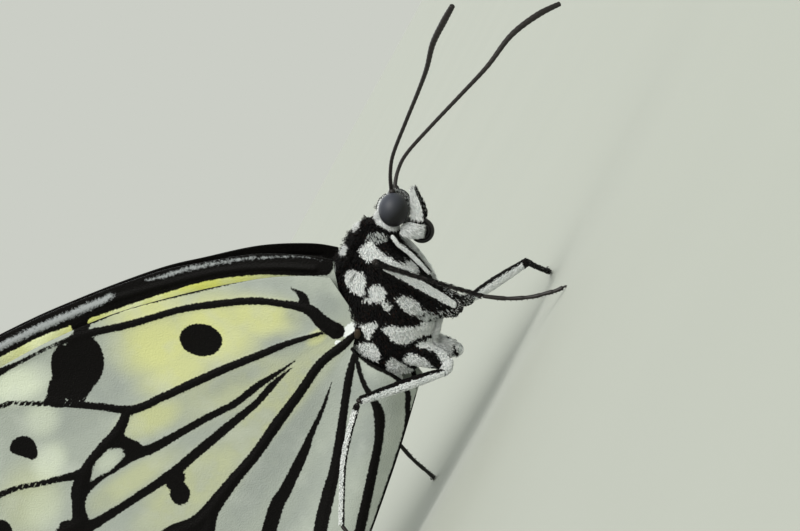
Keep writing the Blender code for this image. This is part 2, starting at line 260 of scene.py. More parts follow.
# %% [markdown]
# ## Wings
#
# A butterfly's wing is a film a few hundredths of a millimetre thick, stiffened by tubular
# veins and painted by rows of flat scales. The construction's wings are half a millimetre
# thick, so here each becomes a thin sheet in the middle of that plate. The sheet starts as a
# fine grid bent to the wing's four edges, as the construction bends its own coarse one.

# %% Curves and the wings' outlines
def along(points, t):
    """Read a smooth curve through points at t from 0 to 1; t may be an array."""
    known = np.asarray(points, float)
    known = np.vstack((known[:1], known, known[-1:]))
    spans = len(known) - 3
    place = np.clip(t, 0.0, 1.0) * spans
    i = np.minimum(place.astype(int), spans - 1)
    f = (place - i)[..., None]
    a, b, c, d = known[i], known[i + 1], known[i + 2], known[i + 3]
    return b + 0.5 * f * (c - a + f * (2 * a - 5 * b + 4 * c - d + f * (3 * (b - c) + d - a)))


FOREWING = {
    "root": ((-6.0, 16.7), (-8.3, 14.8), (-10.6, 12.9)),
    "front": ((-6.0, 16.7), (-6.8, 18.8), (-8.8, 22.2), (-11.6, 25.5), (-14.4, 28.5), (-19.7, 32.9),
              (-25.4, 37.0), (-38.6, 45.4), (-49.5, 50.8), (-56.3, 52.9), (-61.5, 52.7)),
    "outer": ((-61.5, 52.7), (-65.5, 49.2), (-66.6, 42.5), (-65.2, 34.5), (-61.8, 26.3),
              (-57.3, 19.4), (-52.6, 13.4)),
    "rear": ((-10.6, 12.9), (-18.0, 11.3), (-29.0, 10.9), (-41.0, 11.6), (-52.6, 13.4)),
}
HINDWING = {
    "root": ((-7.1, 16.2), (-8.4, 13.8), (-9.0, 12.6), (-10.2, 12.3), (-11.4, 11.8), (-11.6, 10.2),
             (-11.5, 8.2), (-12.0, 6.0)),
    "front": ((-7.1, 16.2), (-8.2, 18.3), (-10.3, 21.2), (-15.0, 26.2), (-20.4, 31.1), (-27.6, 35.9),
              (-36.0, 39.8), (-43.5, 41.3), (-49.5, 40.4)),
    "outer": ((-49.5, 40.4), (-55.6, 35.4), (-59.9, 27.4), (-61.6, 18.0), (-60.9, 9.5),
              (-57.8, 3.2)),
    "rear": ((-12.0, 6.0), (-20.0, 4.3), (-30.0, 2.7), (-40.0, 1.0), (-49.5, -0.4), (-57.8, 3.2)),
}
WING_ROOT = (-8.6, 15.0)
ROOT_SPREAD, ROOT_SPREAD_REACH = 1.5, 9.0
ABDOMEN_AXIS = ((-12.8, 8.5), (-16.4, 7.3), (-22.4, 5.85), (-28.4, 4.8), (-33.6, 4.1), (-34.9, 3.95))
ABDOMEN_BULGE_REACH = 2.5


def wing_plane(edges, u, v):
    """Places in the wing's plane, u from root to outer edge and v from front to rear."""
    front, rear = along(edges["front"], u), along(edges["rear"], u)
    root, outer = along(edges["root"], v), along(edges["outer"], v)
    u, v = u[:, None], v[:, None]
    root_line = (1 - v) * np.array(edges["root"][0]) + v * np.array(edges["root"][-1])
    outer_line = (1 - v) * np.array(edges["outer"][0]) + v * np.array(edges["outer"][-1])
    return (1 - v) * front + v * rear + (1 - u) * (root - root_line) + u * (outer - outer_line)


# %% [markdown]
# The black pattern is a set of brush strokes along the veins, and blots between them. Each
# stroke is a curve with a width that changes along it, and a place on the wing gets the depth
# at which it lies inside the deepest stroke: above zero it is black, below it is pale. The
# depth is kept on the mesh as an attribute, and the material roughens it by a scale's width
# before it decides, so the edges look made of scales.

# %% Strokes and blots
OUTSIDE = -99.0               # the depth of a place that no stroke or blot is near


def stroke(at, points, half_widths, steps=48):
    """How deep each place lies inside a stroke of the brush, in mm; below 0 outside it."""
    t = np.linspace(0.0, 1.0, steps)
    line = along(points, t)
    half = along([(w,) for w in half_widths], t)[:, 0]
    depth = np.full(len(at), OUTSIDE)
    for a, b, wide_a, wide_b in zip(line, line[1:], half, half[1:]):
        span = b - a
        share = np.clip((at - a) @ span / (span @ span), 0.0, 1.0)
        away = np.linalg.norm(at - a - share[:, None] * span, axis=1)
        np.maximum(depth, wide_a + (wide_b - wide_a) * share - away, out=depth)
    return depth


def deepest(at, strokes):
    """How deep each place lies inside the deepest of several strokes."""
    depth = np.full(len(at), OUTSIDE)
    for points, half_widths in strokes:
        np.maximum(depth, stroke(at, points, half_widths), out=depth)
    return depth


def blot(at, centre, half_sizes, turn=0.0):
    """How deep each place lies inside an oval, about in mm; turn is in degrees."""
    a = math.radians(turn)
    off = at - np.array(centre)
    x = (off[:, 0] * math.cos(a) + off[:, 1] * math.sin(a)) / half_sizes[0]
    z = (off[:, 1] * math.cos(a) - off[:, 0] * math.sin(a)) / half_sizes[1]
    return (1.0 - np.hypot(x, z)) * min(half_sizes)


HIND_VEINS = {
    "subcosta": (((-10.7, 13.8), (-10.6, 15.0), (-10.2, 16.4), (-10.8, 18.3), (-12.0, 20.7),
                  (-14.0, 23.3), (-15.8, 25.4), (-19.0, 28.4), (-21.2, 30.8), (-23.3, 32.7),
                  (-26.3, 34.7), (-28.4, 36.0), (-34.5, 38.7), (-40.0, 40.7)),
                 (0.72, 0.62, 0.48, 0.3, 0.3, 0.3, 0.27, 0.3, 0.3, 0.14, 0.15, 0.3, 0.3, 0.25)),
    "radius": (((-11.3, 14.6), (-13.6, 16.6), (-15.7, 18.1), (-18.0, 19.8), (-20.6, 21.6),
                (-23.2, 23.4), (-25.2, 24.9), (-26.3, 27.3), (-27.5, 29.8), (-29.1, 32.7),
                (-30.4, 34.4), (-36.5, 38.2), (-45.0, 40.9)),
               (0.12, 0.25, 0.31, 0.33, 0.35, 0.33, 0.35, 0.32, 0.27, 0.22, 0.2, 0.3, 0.4)),
    "cell_end": (((-25.5, 25.2), (-27.6, 25.1), (-29.3, 25.6), (-31.6, 25.9), (-33.5, 25.6),
                  (-34.8, 25.1), (-36.1, 24.2)), (0.3, 0.5, 0.4, 0.5, 0.72, 0.52, 0.75)),
    "media_1": (((-32.5, 26.4), (-34.4, 28.4), (-37.2, 31.1), (-44.0, 34.6), (-53.5, 37.0)),
                (0.35, 0.24, 0.24, 0.3, 0.6)),
    "media_2": (((-36.4, 24.6), (-42.0, 26.8), (-50.0, 28.0), (-59.0, 28.6)), (0.6, 0.36, 0.36, 0.7)),
    "media_3": (((-37.0, 25.2), (-40.0, 23.0), (-47.0, 21.0), (-61.2, 19.4)), (0.6, 0.4, 0.4, 0.8)),
    "cubitus": (((-10.0, 12.3), (-11.6, 12.8), (-13.8, 13.6), (-17.0, 13.9), (-20.4, 14.3),
                 (-23.6, 14.6), (-26.8, 15.2), (-31.1, 15.9), (-33.8, 17.5), (-38.0, 17.3),
                 (-47.0, 14.4), (-60.8, 11.0)),
                (0.2, 0.35, 0.36, 0.38, 0.44, 0.43, 0.5, 0.75, 0.85, 0.5, 0.45, 0.8)),
    "cell_floor": (((-34.2, 17.6), (-36.8, 20.4), (-38.3, 23.0), (-37.6, 25.0)),
                   (0.8, 0.6, 0.65, 0.7)),
    "cubitus_2": (((-29.6, 15.6), (-35.0, 13.4), (-45.0, 8.6), (-58.6, 4.6)), (0.6, 0.42, 0.45, 0.8)),
    "anal_2": (((-11.6, 11.6), (-13.6, 11.1), (-16.3, 10.2), (-18.8, 9.3), (-21.2, 8.5),
                (-23.7, 7.9), (-26.2, 7.2), (-34.0, 4.9), (-43.0, 2.0), (-48.0, 0.2)),
               (0.2, 0.33, 0.34, 0.4, 0.46, 0.55, 0.58, 0.6, 0.5, 0.6)),
    "anal_3": (((-11.6, 11.6), (-13.1, 10.1), (-14.3, 8.3), (-15.2, 7.5), (-16.9, 6.7),
                (-18.8, 6.1), (-23.0, 4.9), (-29.0, 3.2)),
               (0.2, 0.2, 0.35, 0.43, 0.33, 0.35, 0.4, 0.4)),
}
HIND_STREAKS = {
    "humeral_hook": (((-9.4, 18.5), (-9.4, 18.0), (-9.5, 17.4), (-9.9, 17.0)), (0.08, 0.14, 0.33, 0.45)),
    "front_line": (((-10.0, 20.9), (-12.3, 23.4), (-15.0, 26.2), (-17.9, 29.1), (-20.4, 31.1)),
                   (-0.06, 0.08, 0.12, 0.12, 0.14)),
    "column_top": (((-20.4, 32.0), (-21.3, 31.5), (-22.6, 30.9)), (0.65, 0.6, 0.9)),
    "upper_streak": (((-14.6, 15.4), (-16.4, 16.2), (-18.3, 17.1), (-20.6, 18.0), (-23.0, 19.5),
                      (-25.1, 20.7), (-27.3, 22.0), (-28.0, 22.6)),
                     (0.04, 0.18, 0.3, 0.3, 0.31, 0.33, 0.42, 0.45)),
    "island_floor": (((-27.9, 22.6), (-29.3, 23.4), (-30.5, 23.9), (-31.8, 24.6), (-32.9, 25.0)),
                     (0.45, 0.35, 0.24, 0.22, 0.3)),
    "lower_streak": (((-15.3, 15.4), (-17.6, 16.1), (-19.6, 16.5), (-22.7, 17.6), (-25.7, 18.7),
                      (-28.7, 19.8), (-32.0, 21.4), (-34.9, 22.9), (-37.0, 24.2)),
                     (0.04, 0.27, 0.29, 0.37, 0.4, 0.4, 0.35, 0.4, 0.6)),
    "front_strip": (((-28.0, 35.9), (-33.0, 38.5), (-40.0, 40.9)), (0.25, 0.4, 0.3)),
    "fold_streak": (((-14.8, 12.1), (-17.2, 11.7), (-19.8, 11.5), (-21.5, 11.3), (-25.0, 11.1),
                     (-27.9, 10.9), (-38.0, 8.2), (-49.0, 3.6)),
                    (0.03, 0.17, 0.27, 0.4, 0.5, 0.6, 0.6, 0.6)),
    "island_surround": (((-28.2, 23.3), (-28.4, 24.6)), (0.75, 0.85)),
    "space_triangle": (((-33.1, 31.8), (-32.5, 31.2), (-32.8, 30.3)), (0.45, 0.9, 0.45)),
    "inner_margin": (((-11.4, 11.9), (-11.6, 10.2), (-11.6, 8.2), (-12.3, 6.7), (-13.5, 6.0),
                      (-15.1, 5.3), (-18.0, 4.6), (-30.0, 2.5), (-44.0, 0.2)),
                     (0.2, 0.25, 0.2, 0.22, 0.22, 0.2, 0.25, 0.3, 0.3)),
}
HIND_BLOTS = {
    "blotch": ((-23.7, 30.2), (2.35, 1.75), 22),
    "blotch_rear": ((-24.9, 30.6), (2.45, 1.6), 44),
    "cell_spot": ((-17.15, 22.75), (1.75, 1.38), -63),
    "blotch_foot": ((-27.0, 30.9), (1.3, 0.8), 25),
    "middle_space_spot": ((-40.4, 29.5), (1.4, 1.0), 20),
    "hanging_spot": ((-29.7, 18.4), (1.0, 0.85), 30),
    "hanging_neck": ((-28.9, 19.2), (1.0, 0.6), -20),
}
HIND_ISLAND = ((-30.2, 24.7), (1.6, 0.68), -20)   # a pale oval left clear in the black
FORE_VEINS = {
    "subcosta": (((-7.3, 17.6), (-8.8, 20.3), (-11.0, 23.4), (-13.5, 26.1), (-16.6, 29.1),
                  (-20.2, 32.3), (-27.0, 37.2), (-34.0, 41.5), (-42.0, 45.9)),
                 (0.3, 0.34, 0.32, 0.3, 0.3, 0.4, 0.5, 0.5, 0.4)),
    "radius": (((-9.6, 15.6), (-13.2, 20.4), (-18.6, 26.2), (-24.6, 31.4), (-31.0, 37.0),
                (-38.0, 42.0), (-48.0, 47.0), (-60.0, 52.2)),
               (0.2, 0.28, 0.3, 0.32, 0.4, 0.5, 0.4, 0.6)),
    "radius_5": (((-36.0, 40.5), (-46.0, 43.9), (-56.0, 46.3), (-65.6, 48.4)), (0.5, 0.34, 0.34, 0.7)),
    "cell_end": (((-36.0, 40.5), (-38.2, 37.2), (-38.6, 33.4), (-37.4, 29.6)), (0.5, 0.8, 0.8, 0.6)),
    "media_1": (((-37.6, 38.6), (-46.0, 40.4), (-56.0, 41.6), (-66.4, 42.0)), (0.6, 0.34, 0.34, 0.7)),
    "media_2": (((-38.6, 35.2), (-47.0, 35.4), (-56.0, 35.2), (-65.4, 35.0)), (0.6, 0.34, 0.34, 0.7)),
    "cubitus": (((-10.2, 14.6), (-18.0, 19.4), (-27.0, 24.4), (-37.4, 29.6), (-48.0, 29.8),
                 (-63.4, 29.2)), (0.3, 0.4, 0.45, 0.6, 0.36, 0.7)),
    "cubitus_1": (((-31.0, 26.4), (-42.0, 24.8), (-60.4, 23.8)), (0.45, 0.36, 0.7)),
    "cubitus_2": (((-24.0, 22.8), (-38.0, 18.8), (-56.6, 18.6)), (0.4, 0.36, 0.7)),
    "anal": (((-10.5, 13.6), (-22.0, 14.6), (-38.0, 13.9), (-54.0, 14.6)), (0.3, 0.36, 0.4, 0.6)),
}
FORE_STREAKS = {
    "front_edge": (FOREWING["front"], (0.5,) * 11),
    "costal_field": (((-6.8, 17.0), (-7.5, 18.4), (-9.5, 21.8), (-12.2, 25.1), (-14.8, 27.7),
                      (-16.5, 29.2), (-20.0, 32.1), (-23.7, 35.0), (-25.7, 36.3), (-38.0, 44.6),
                      (-49.0, 50.2), (-61.0, 52.4)),
                     (0.7, 0.84, 0.85, 0.82, 0.94, 0.93, 0.86, 0.72, 0.74, 0.9, 0.8, 1.0)),
    "mid_cell_bar": (((-20.7, 32.2), (-21.5, 31.7), (-22.4, 31.0), (-25.0, 28.6)),
                     (0.7, 0.7, 0.7, 0.6)),
}
FORE_BLOTS = {
    "disc_blot": ((-42.5, 42.2), (3.4, 1.6), 25),
    "fork_spot": ((-44.0, 37.8), (1.6, 1.2), 0),
    "middle_spot": ((-43.5, 32.4), (1.8, 1.4), 0),
    "lower_spot": ((-40.5, 26.9), (1.8, 1.3), 0),
    "rear_spot": ((-36.0, 21.3), (1.7, 1.2), -15),
}


# %% [markdown]
# Towards the outer edge the pattern repeats itself: one black oval stands between each two
# veins, and the black margin carries a double row of white dots. These are worked out from the
# veins and from the wing's own grid, so they need no list of places.

# %% The painted pattern
MARGIN_WIDTHS = (0.35, 2.5, 2.5, 2.5, 2.5, 1.2)    # half width of the black margin, front to rear
MARGIN_DOTS = 15              # white dots along the outer edge in each row
DOT_ROWS = ((0.972, 0.62), (0.993, 0.34))    # how far out a row of dots is, and a dot's size
OVAL_PLACE = 0.80             # how far along the veins the black ovals stand
OVAL_SIZE = (1.6, 1.05)
HIND_ORDER = ("radius", "media_1", "media_2", "media_3", "cubitus", "cubitus_2", "anal_2")
FORE_ORDER = ("radius_5", "media_1", "media_2", "cubitus", "cubitus_1", "cubitus_2", "anal")


def painted_depth(at, edges, veins, streaks, blots, order, islands=()):
    """The pattern's depth at each place: above 0 is black, below 0 is pale."""
    depth = deepest(at, [*veins.values(), *streaks.values()])
    for centre, half_sizes, turn in blots.values():
        np.maximum(depth, blot(at, centre, half_sizes, turn), out=depth)
    for upper, lower in zip(order, order[1:]):
        t = np.array([OVAL_PLACE])
        a, b = along(veins[upper][0], t)[0], along(veins[lower][0], t)[0]
        slope = math.degrees(math.atan2(*(a - b))) - 180
        np.maximum(depth, blot(at, (a + b) / 2, OVAL_SIZE, -slope), out=depth)
    np.maximum(depth, stroke(at, edges["outer"], MARGIN_WIDTHS), out=depth)
    for place, size in DOT_ROWS:
        v = (np.arange(MARGIN_DOTS) + 0.5) / MARGIN_DOTS
        for centre in wing_plane(edges, np.full(MARGIN_DOTS, place), v):
            np.minimum(depth, -blot(at, centre, (size, size * 0.8)), out=depth)
    for centre, half_sizes, turn in islands:
        np.minimum(depth, -blot(at, centre, half_sizes, turn), out=depth)
    return depth


def soft_spots(at, spots):
    """A soft field from 0 to 1, strongest in the middle of each of a few ovals."""
    field = np.zeros(len(at))
    for centre, half_sizes, turn, strength in spots:
        inside = np.clip(1.3 * blot(at, centre, half_sizes, turn) / min(half_sizes), 0.0, 1.0)
        np.maximum(field, strength * inside * inside * (3.0 - 2.0 * inside), out=field)
    return field


# %% [markdown]
# Near the body the pale ground is washed with yellow: a painted glow of the daylight that shines
# through the thin wing from behind. In other places the ground is greyed as painted shade, where the
# other wing's dark pattern lies behind the film. Further out lie cream patches, and at the root a
# white tuft. All are soft ovals: a centre, two half sizes, a turn in degrees and a strength. The
# forewing's cell shows above the hindwing as one bright yellow streak of painted glow, then a paler
# bar of painted light, and a grey line of painted highlight runs along the rim of its black front
# edge.

# %% Soft fields of the ground
# Painted light: where daylight shining through the hindwing from behind is painted as a yellow glow.
HIND_BACKLIT_GLOW = (
    ((-19.2, 25.6), (5.2, 4.4), -45, 0.95),
    ((-16.0, 22.4), (6.2, 4.6), -48, 1.0),
    ((-13.0, 19.8), (4.8, 2.8), -58, 1.0),
    ((-20.4, 23.2), (5.0, 2.6), -36, 0.8),
    ((-25.0, 23.2), (4.4, 2.0), -34, 0.65),
    ((-19.0, 15.2), (11.0, 2.2), -12, 0.7),
    ((-28.6, 17.8), (8.0, 3.0), -20, 0.6),
    ((-19.0, 18.6), (9.0, 4.0), -36, 0.35),
    ((-17.0, 27.4), (5.5, 2.0), -45, 0.85),
    ((-30.6, 22.2), (7.0, 1.6), -26, 0.4),
    ((-12.0, 14.8), (1.6, 0.9), -20, 0.7),
    ((-36.5, 29.0), (5.0, 3.6), 0, 0.3),
)
# Painted shade: where the other wing's dark pattern shadows the hindwing's film, painted grey.
HIND_SHINE_THROUGH_SHADE = (
    ((-9.2, 15.5), (1.5, 2.0), 0, 1.0),
    ((-13.8, 16.9), (3.0, 1.5), -38, 1.0),
    ((-18.6, 18.9), (4.6, 1.4), -34, 0.8),
    ((-19.0, 15.2), (11.0, 2.0), -12, 0.75),
    ((-29.0, 17.6), (7.0, 2.6), -20, 0.6),
    ((-17.0, 7.8), (5.0, 2.0), -12, 1.0),
    ((-24.8, 27.8), (2.5, 3.2), -20, 1.0),
    ((-11.4, 16.9), (1.2, 1.8), 20, 0.9),
    ((-10.2, 20.0), (1.5, 3.6), 24, 0.6),
    ((-28.4, 28.6), (4.0, 2.6), 20, 0.7),
    ((-23.6, 13.0), (12.0, 1.9), -4, 0.9),
    ((-22.0, 18.2), (8.0, 1.1), -26, 0.6),
    ((-34.4, 24.0), (3.0, 1.2), -26, 0.7),
    ((-25.0, 9.5), (11.0, 1.6), -6, 0.7),
    ((-14.0, 9.6), (2.4, 3.4), 30, 1.0),
    ((-31.6, 20.6), (5.0, 1.6), -22, 0.5),
)
HIND_TUFT = (
    ((-10.1, 12.9), (1.1, 0.6), -8, 1.0),
    ((-11.5, 13.2), (0.4, 0.3), -50, 1.0),
)
HIND_CREAM = (
    ((-28.0, 34.0), (4.0, 2.2), -45, 1.0),
    ((-29.6, 31.0), (2.4, 2.0), 0, 0.6),
    ((-32.7, 28.8), (2.6, 1.8), 0, 0.8),
    ((-36.4, 27.6), (3.0, 2.2), 0, 0.4),
    ((-30.2, 24.7), (1.8, 1.2), -20, 0.5),
)
# Painted light: the bright yellow glow of the forewing's cell, lit from behind.
FORE_BACKLIT_GLOW = (
    ((-14.6, 24.4), (10.5, 5.0), -48, 1.0),
    ((-20.0, 30.2), (7.0, 4.0), -42, 1.0),
    ((-24.5, 34.0), (6.0, 2.6), -38, 0.6),
    ((-22.0, 22.0), (12.0, 6.0), -35, 0.5),
)
# Painted light: the paler bright bar beyond the forewing's yellow streak.
FORE_SHINE_THROUGH_LIGHT = (
    ((-24.8, 34.6), (6.0, 3.2), -38, 1.0),
    ((-17.8, 28.8), (6.0, 3.0), -42, 0.8),
)
# Painted highlight: a grey line along the rim of the forewing's black front edge.
FORE_EDGE_HIGHLIGHT = (
    (((-6.4, 17.3), (-7.0, 18.9), (-8.4, 21.1), (-9.6, 22.8), (-12.4, 26.0), (-14.1, 27.6),
      (-15.3, 28.8)), (-0.1, -0.07, -0.02, 0.04, 0.1, 0.1, 0.0)),
    (((-17.7, 30.6), (-18.5, 31.1), (-20.4, 32.5), (-24.2, 35.3), (-30.0, 39.1), (-38.0, 44.0),
      (-47.0, 48.6), (-56.0, 51.4)), (0.1, 0.22, 0.24, 0.24, 0.28, 0.3, 0.3, 0.2)),
)


# %% [markdown]
# The relief follows the pattern of veins. Each vein stands up as a slim ridge, and the film
# between two veins sinks a little, so that light runs over the wing in soft bands. That is
# real shape in the grid, and only the rows of scales are left to the material.

# %% Building a wing
SHEET_THICKNESS = 0.12
RIDGE_HEIGHT = 0.12
RIDGE_WIDTH = 0.22
PLEAT_DEPTH = 0.12
PLEAT_REACH = 1.6
GRID = (184, 160)             # quads from root to outer edge and from front to rear
NEAR_ROOT = 1.45              # above 1 packs the grid's columns towards the root
OUTER_SHARE = 0.72            # of the wing's texture that shows the outer face
WING_FIELDS = ("depth", "backlit_glow", "shine_through", "cream", "tuft", "edge_highlight")


def wing_offset(at, layer, bulge):
    """How far out from the plane of symmetry the middle of the sheet lies."""
    away = np.linalg.norm(at - np.array(WING_ROOT), axis=1) / ROOT_SPREAD_REACH
    abdomen = stroke(at, ABDOMEN_AXIS, (0.0, 0.0), steps=12) / ABDOMEN_BULGE_REACH
    return layer + ROOT_SPREAD * np.exp(-away ** 2) + bulge * np.exp(-abdomen ** 2)


def with_modifiers_applied(obj):
    """The same object with its modifiers made part of the mesh."""
    shaped = obj.evaluated_get(bpy.context.evaluated_depsgraph_get())
    mesh = bpy.data.meshes.new_from_object(shaped)
    obj.modifiers.clear()
    obj.data = mesh
    return obj


def wing_design(edges, veins, streaks, blots, order, islands, soft, edge_highlights, layer, bulge):
    """What both wings of a pair share: their grid's places, relief and colours."""
    columns, rows = np.meshgrid(np.linspace(0, 1, GRID[0] + 1), np.linspace(0, 1, GRID[1] + 1))
    u, v = columns.ravel() ** NEAR_ROOT, rows.ravel()
    at = wing_plane(edges, u, v)
    at[:, 1] = np.maximum(at[:, 1], 0.0)
    ridge = deepest(at, [(points, (0.0, 0.0)) for points, _ in veins.values()])
    relief = RIDGE_HEIGHT * np.exp(-(ridge / RIDGE_WIDTH) ** 2)
    relief -= PLEAT_DEPTH * (1.0 - np.exp(-(ridge / PLEAT_REACH) ** 2))
    return {
        "at": at,
        "offset": wing_offset(at, layer, bulge) + relief,
        "depth": painted_depth(at, edges, veins, streaks, blots, order, islands),
        "edge_highlight": deepest(at, edge_highlights),
        **{field: soft_spots(at, spots) for field, spots in zip(WING_FIELDS[1:5], soft)},
    }


def build_wing(name, design, side, finish):
    """One wing as a closed thin sheet with its colours and its texture map."""
    bm = bmesh.new()
    bmesh.ops.create_grid(bm, x_segments=GRID[0], y_segments=GRID[1], size=0.5)
    mesh = mesh_from(bm, name)
    flat = vertex_values(mesh, "co")
    column = np.rint((flat[:, 0] + 0.5) * GRID[0]).astype(int)
    row = np.rint((flat[:, 1] + 0.5) * GRID[1]).astype(int)
    index = row * (GRID[0] + 1) + column
    at, offset, sign = design["at"][index], design["offset"][index], SIDES[side]
    places = np.column_stack((at[:, 0], sign * offset, at[:, 1]))
    mesh.vertices.foreach_set("co", places.ravel())
    for field in WING_FIELDS:
        put_attribute(mesh, field, design[field][index])
    wing = new_object(name, mesh)
    thickness = wing.modifiers.new("film", "SOLIDIFY")
    thickness.thickness = SHEET_THICKNESS
    thickness.offset = 0.0
    with_modifiers_applied(wing)
    bm = bmesh.new()
    bm.from_mesh(wing.data)
    bmesh.ops.recalc_face_normals(bm, faces=bm.faces)
    lay_out_wing(bm, sign)
    bm.to_mesh(wing.data)
    bm.free()
    keep_highlight_outside(wing.data, sign)
    wing.data.transform(TO_FRAME)
    wing.data.shade_smooth()
    wing.data.materials.clear()
    wing.data.materials.append(finish)
    return wing


def keep_highlight_outside(mesh, sign):
    """The grey painted highlight along the front edge is kept on the face that looks outward here only.
    """
    edge_highlight = np.empty(len(mesh.vertices))
    field = mesh.attributes["edge_highlight"].data
    field.foreach_get("value", edge_highlight)
    outward = vertex_values(mesh, "normal")[:, 1] * sign > 0
    field.foreach_set("value", np.where(outward, edge_highlight, OUTSIDE))


def lay_out_wing(bm, sign):
    """A texture map laid flat in the wing's plane: the outer face, and above it the inner."""
    low = np.min([v.co for v in bm.verts], axis=0)
    size = np.ptp([v.co for v in bm.verts], axis=0)
    layer = bm.loops.layers.uv.new("OFBake")
    for face in bm.faces:
        outer = face.normal.y * sign > 0
        for loop in face.loops:
            u = (loop.vert.co.x - low[0]) / size[0]
            v = (loop.vert.co.z - low[2]) / size[2]
            v = OUTER_SHARE * v if outer else OUTER_SHARE + 0.01 + (0.99 - OUTER_SHARE) * v
            loop[layer].uv = (0.005 + 0.99 * u, 0.005 + 0.99 * v)


# %% [markdown]
# The finish of a wing is dry and matt where the scales are pale, and a little silky where they
# are black, because dark scales hold melanin and lie denser. The scales of this butterfly are
# about a tenth of a millimetre wide, which sets the grain of the bump and of the ragged edges.

# %% Scaled wing film
SCALE_WIDTH = 0.13            # of one wing scale, in mm


def scaled_film(name, pale, backlit_yellow, shine_through_colour):
    made, tree, shader, place = start_material(name, Specular_IOR_Level=0.06)
    depth, backlit_glow, shine_through, cream, tuft, edge_highlight = (
        add(tree, "Attribute", attribute_name=field).outputs["Fac"] for field in WING_FIELDS
    )
    grain = noise(tree, place, SCALE_WIDTH * 1.6, detail=3.0, roughness=0.7)
    patches = noise(tree, place, 2.4, detail=3.0)
    drift = noise(tree, place, 7.0, detail=1.0)

    # Painted light: the yellow wash is a painted glow of daylight shining through the wing from behind.
    backlit_wash = maths(tree, "MULTIPLY", backlit_glow, remap(tree, drift, 0.3, 0.62, 0.8, 1.0))
    ground = mixed(tree, backlit_wash, pale, backlit_yellow)
    # Painted light and shade: this colour greys the hindwing where the other wing shadows it, and
    # brightens a bar on the forewing.
    shine_through_share = maths(tree, "MULTIPLY", shine_through, remap(tree, patches, 0.32, 0.6, 0.25, 0.85))
    ground = mixed(tree, shine_through_share, ground, shine_through_colour)
    ground = mixed(tree, cream, ground, paint("#CCD3BF"))
    ground = mixed(tree, remap(tree, patches, 0.5, 0.75, 0.0, 0.4), ground, paint("#BCC1B8"))
    ground = mixed(tree, remap(tree, grain, 0.55, 0.8, 0.0, 0.16), ground, paint("#889087"))
    ground = mixed(tree, remap(tree, maths(tree, "ADD", tuft, grain), 0.8, 1.0), ground, paint("#E6EAEA"))

    ragged = maths(tree, "ADD", depth, remap(tree, grain, 0.2, 0.8, -0.09, 0.09))
    blackness = remap(tree, ragged, -0.03, 0.04)
    ink = mixed(tree, grain, paint("#040404"), paint("#110F0E"))
    # Painted highlight: a grey line along the rim of the forewing's black front edge.
    ragged_highlight = maths(tree, "ADD", edge_highlight, remap(tree, grain, 0.25, 0.75, -0.2, 0.2))
    ink = mixed(tree, remap(tree, ragged_highlight, -0.12, 0.1), ink, paint("#979B9D"))
    colour = mixed(tree, blackness, ground, ink)
    tree.links.new(colour, shader.inputs["Base Color"])
    tree.links.new(remap(tree, blackness, 0.0, 1.0, 0.72, 0.5), shader.inputs["Roughness"])

    rows = add(tree, "TexVoronoi", {"Vector": place, "Scale": 1 / (SCALE_WIDTH * MM)}).outputs[0]
    bump(tree, shader, maths(tree, "ADD", rows, patches), 0.03)
    return made


# The second colour is the painted glow of backlight; the third is painted shade on the hindwing and a
# painted bright bar on the forewing.
hind_film = scaled_film("hindwing_film", paint("#A0A69E"), paint("#CDCF8E"), paint("#8F9592"))
fore_film = scaled_film("forewing_film", paint("#A0A69E"), paint("#D2D562"), paint("#F4F9CE"))
hind_design = wing_design(HINDWING, HIND_VEINS, HIND_STREAKS, HIND_BLOTS, HIND_ORDER,
                          (HIND_ISLAND,), (HIND_BACKLIT_GLOW, HIND_SHINE_THROUGH_SHADE, HIND_CREAM, HIND_TUFT), (),
                          layer=1.25, bulge=1.35)
fore_design = wing_design(FOREWING, FORE_VEINS, FORE_STREAKS, FORE_BLOTS, FORE_ORDER,
                          (), (FORE_BACKLIT_GLOW, FORE_SHINE_THROUGH_LIGHT, (), ()), FORE_EDGE_HIGHLIGHT, layer=0.45, bulge=0.0)
for side in SIDES:
    for name, design, finish in (("forewing_", fore_design, fore_film),
                                 ("hindwing_", hind_design, hind_film)):
        wing = build_wing(name + side + "_film", design, side, finish)
        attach(wing, "root")
        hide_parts(name + side)
        print(wing.name, len(wing.data.polygons), "faces")


# %% [markdown]
# ## The skin
#
# The construction keeps the body in separate solids with narrow gaps. Here copies of them are
# swollen until they touch, remeshed into one closed surface, smoothed, and drawn back in by the
# same amount and by the depth of the coat. That closes every seam, keeps the outline, and
# leaves room for the scales to lie on top.

# %% One skin over the flesh
SEAM_SWELL = 0.22             # more than half the gap between neighbouring pieces
COAT_DEPTH = 0.2
SKIN_VOXEL = 0.12
WELD = 0.01
SMOOTHING_ROUNDS = 14
HEAD_CENTRE, HEAD_SHARE = (-0.45, 0.0, 14.45), 0.9     # the skull is a little less than the head
COXAE = ("mid_coxa_right", "mid_coxa_left", "hind_coxa_right", "hind_coxa_left")
TRUNK = ("thorax", "prothorax", "head", "abdomen_1", "abdomen_2", "abdomen_3", "abdomen_4")


